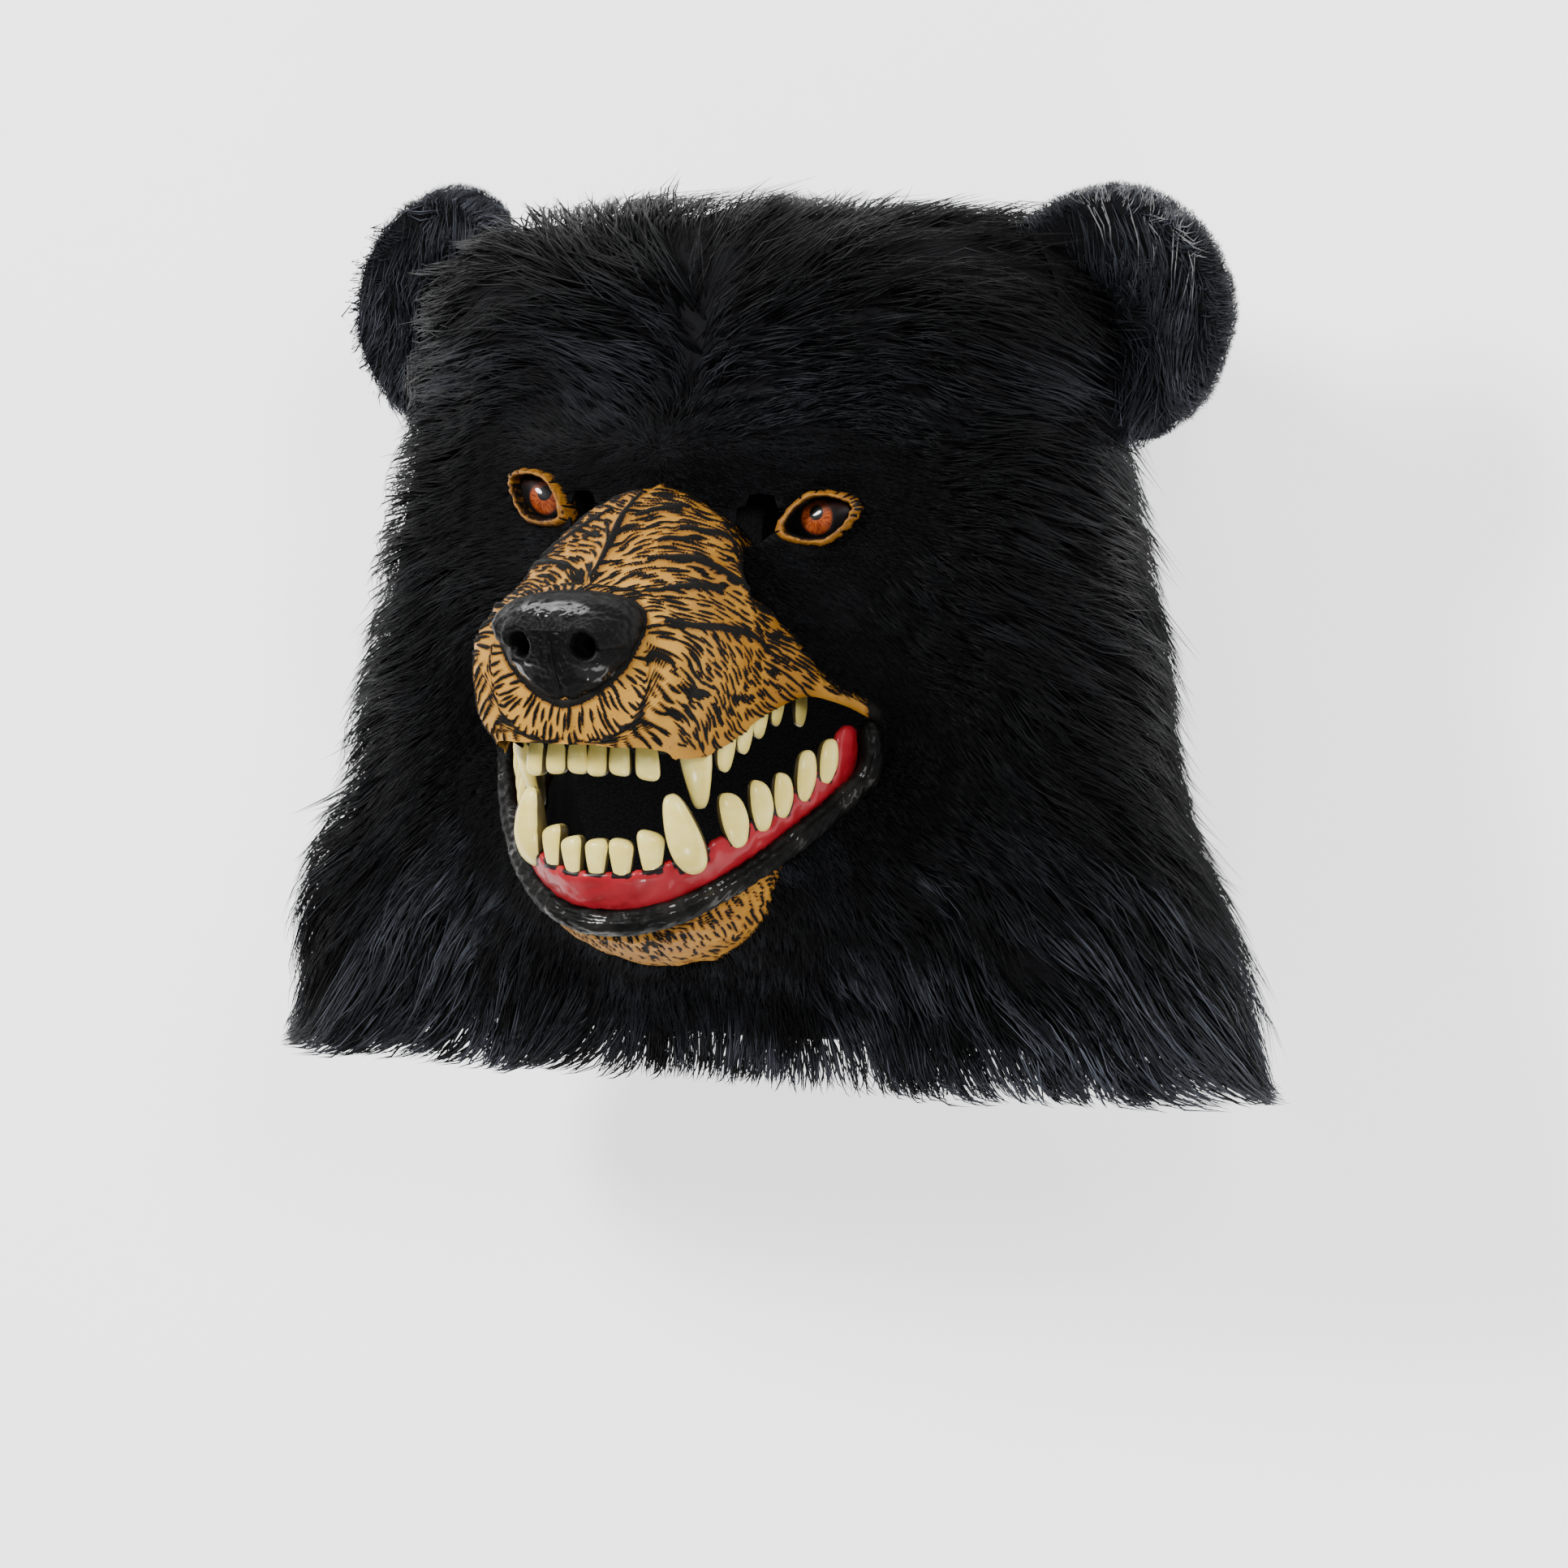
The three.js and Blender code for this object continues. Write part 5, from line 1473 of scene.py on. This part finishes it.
def tooth_points(root, along, face, long, wide, kind, slant):
    """Crown: a squared oval section that swells and narrows along the tooth, bowed out in the middle."""
    across = unit(np.cross(along, face))
    out = np.cross(across, along)
    t = (1 - np.cos(np.linspace(0, 1, TOOTH_ROWS) * np.pi)) / 2
    half = wide * tooth_share(kind, t)[:, None]
    angle = circle(TOOTH_SIDES)
    bow = (np.sin(np.pi * t) * long * (FANG_BOW if "fang" in kind else TOOTH_BOW))[:, None, None]
    ring = half * squared(np.cos(angle), SECTION_POWERS[0])
    flat = SIDE_THICK if kind == "upper_side" else TOOTH_THICK
    thick = flat * half * squared(np.sin(angle), SECTION_POWERS[1])
    rise = (long * t)[:, None] + slant * ring * (t**3)[:, None]
    return root + along * rise[..., None] + out * bow + across * ring[..., None] + out * thick[..., None]


def tooth_row(kind, teeth, line, up, roots, lean, fang_way):
    """Point grids of every tooth of a row in one array, with the roots and sizes for the dark rings round
    them.
    """
    grids, rings = [], []
    for index, (at, long, wide, tip, slant) in enumerate(teeth):
        lift, ahead = between(roots, at)
        for side in (-1, 1) if at > 0 else (1,):
            along = unit(line(np.array(side * at + 0.01)) - line(np.array(side * at - 0.01)))
            face = unit(-np.cross((0.0, 1.0, 0.0), along))
            fang = index == FANG_AT
            inset = FAR_INSET * (side < 0) * (index > FANG_AT)
            root = line(np.array(side * at)) + (inset, up * lift, 0) + face * ahead
            shape = kind + ("_fang" if fang else "_side" if index > FANG_AT else "")
            jitter = 1 + 0.03 * np.sin(7.0 * at * side + 2.0 * index)
            toward = (0, up, 0) + face * lean * (1 - 0.6 * at)
            if fang:
                toward = np.array(fang_way) * (side, 1, 1)
                face = unit(face + (0, 0, 1))
            toward = unit(toward + along * (tip * side + 0.03 * np.sin(37.0 * at + side)))
            grids.append(tooth_points(root, toward, face, long * jitter, wide, shape, up * side * slant))
            rings.append((root, toward, face, long * jitter, wide, shape))
    return np.array(grids), rings


def tooth_mesh(name, grids, finish):
    """One mesh of a row's crowns. Its tone is the height along each, and 1 lower on their backs."""
    one = grid_faces(TOOTH_ROWS, TOOTH_SIDES, around=True)
    faces = (np.arange(len(grids))[:, None, None] * TOOTH_ROWS * TOOTH_SIDES + one).reshape(-1, 4)
    shade = np.where(np.sin(circle(TOOTH_SIDES)) < 0.3, -1.0, 0.0) + np.linspace(0, 1, TOOTH_ROWS)[:, None]
    points = grids.reshape(-1, 3)
    volume = np.einsum("ij,ij->", points[faces[:, 0]], np.cross(points[faces[:, 1]], points[faces[:, 2]]))
    faces = faces if volume > 0 else faces[:, ::-1]
    return surface(name, points, faces, finish, tone=np.tile(shade.ravel(), len(grids)))


tooth_finish = Finish("cream_tooth", Specular_IOR_Level=0.35, Coat_Roughness=0.12)
tooth_height = tooth_finish.tone()
tooth_stain = tooth_finish.noise(160.0, 3.0)
tooth_cream = tooth_finish.mix(tooth_stain.step(0.35, 0.7), (0.90, 0.72, 0.17), (0.97, 0.83, 0.26))
tooth_root = 1.0 - (tooth_height + (tooth_stain - 0.5) * 0.35).step(-0.2, 0.2)
tooth_finish.shade(
    Base_Color=tooth_finish.mix(tooth_root * 0.95, tooth_cream, (0.03, 0.018, 0.009)),
    Roughness=0.3 + tooth_stain * 0.15,
    Coat_Weight=0.2 + tooth_stain * 0.2,
    Normal=tooth_finish.bump(tooth_stain, 0.15),
)
upper_grids, _ = tooth_row("upper", UPPER_TEETH, upper_line, -1, UPPER_ROOTS, 0.08, UPPER_FANG)
lower_grids, lower_roots = tooth_row("lower", LOWER_TEETH, lower_line, 1, LOWER_ROOTS, 0.1, LOWER_FANG)
upper = tooth_mesh("teeth_upper", upper_grids, tooth_finish)
lower = tooth_mesh("teeth_lower", lower_grids, tooth_finish)
for row, node in ((upper, "upper_teeth"), (lower, "lower_teeth")):
    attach(row, "root")
    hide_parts(node)

gum_path = evenly(with_corners(lower_line(np.linspace(-1, 1, 200) * GUM_RUN), GUM_CORNER), GUM_POINTS)
gum_path[:, 0] += FAR_INSET * ease(-gum_path[:, 0], 46, 60)
size = rounded_ends(GUM_POINTS, GUM_END)
gum_ring = tube(gum_path, GUM_THICK * size, GUM_HIGH * size, GUM_UP, GUM_SIDES, GUM_POWER)
near = np.full(gum_ring.shape[:2], 9.0)
for root, along, face, long, wide, kind in lower_roots:
    off = gum_ring - root
    up_it = off @ along
    half = wide * tooth_share(kind, np.clip(up_it / long, ROOT_SHOWN, 1))
    beside = np.abs(off @ unit(np.cross(along, face))) - half
    near = np.minimum(near, np.hypot(np.maximum(beside, 0), np.minimum(up_it - ROOT_SHOWN * long, 0)))
bulge = 0.6 * bell((near - 2.4) / 1.2)
bulge = bulge + 0.4 * waves(gum_ring, 9.0, 71, 7) + 0.2 * waves(gum_ring, 4.0, 72, 7)
gum_ring = raised(gum_ring, gum_path, bulge * size[:, None])
gum_finish = Finish("crimson_gum", Specular_IOR_Level=0.25, Coat_Roughness=0.07)
gum_patch = gum_finish.noise(110.0, 3.0)
gum_line = gum_finish.tone()
gum_rim = (gum_line + (gum_patch - 0.5) * 0.3).step(0.3, 0.7)
gum_colour = gum_finish.mix(gum_patch.step(0.35, 0.7), (0.29, 0.006, 0.013), (0.38, 0.011, 0.021))
gum_finish.shade(
    Base_Color=gum_finish.mix(gum_rim, gum_colour, (0.006, 0.002, 0.002)),
    Roughness=0.34 + gum_patch * 0.15,
    Coat_Weight=0.28 * (1.0 - gum_line),
    Normal=gum_finish.bump(gum_patch, 0.12),
)
gum = sheet("gum_lower", gum_ring, gum_finish, around=True, tone=1 - ease(near, 0.3, 0.9))

upper_path = evenly(upper_line(np.linspace(-1.03, 1.03, 200)), UPPER_POINTS)
size = rounded_ends(UPPER_POINTS, UPPER_END)
ring = tube(upper_path, UPPER_THICK * size, UPPER_HIGH * size, (0.0, 1.0, 0.0), UPPER_SIDES, GUM_POWER)
ring = raised(ring, upper_path, 0.5 * waves(ring, 7.0, 73))
upper_gum = sheet("gum_upper", ring, inside_finish, around=True)
for strip in (gum, upper_gum):
    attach(strip, "root")

size = {"cad": [list(v) for v in cad_box], "visual": [list(v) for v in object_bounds()]}
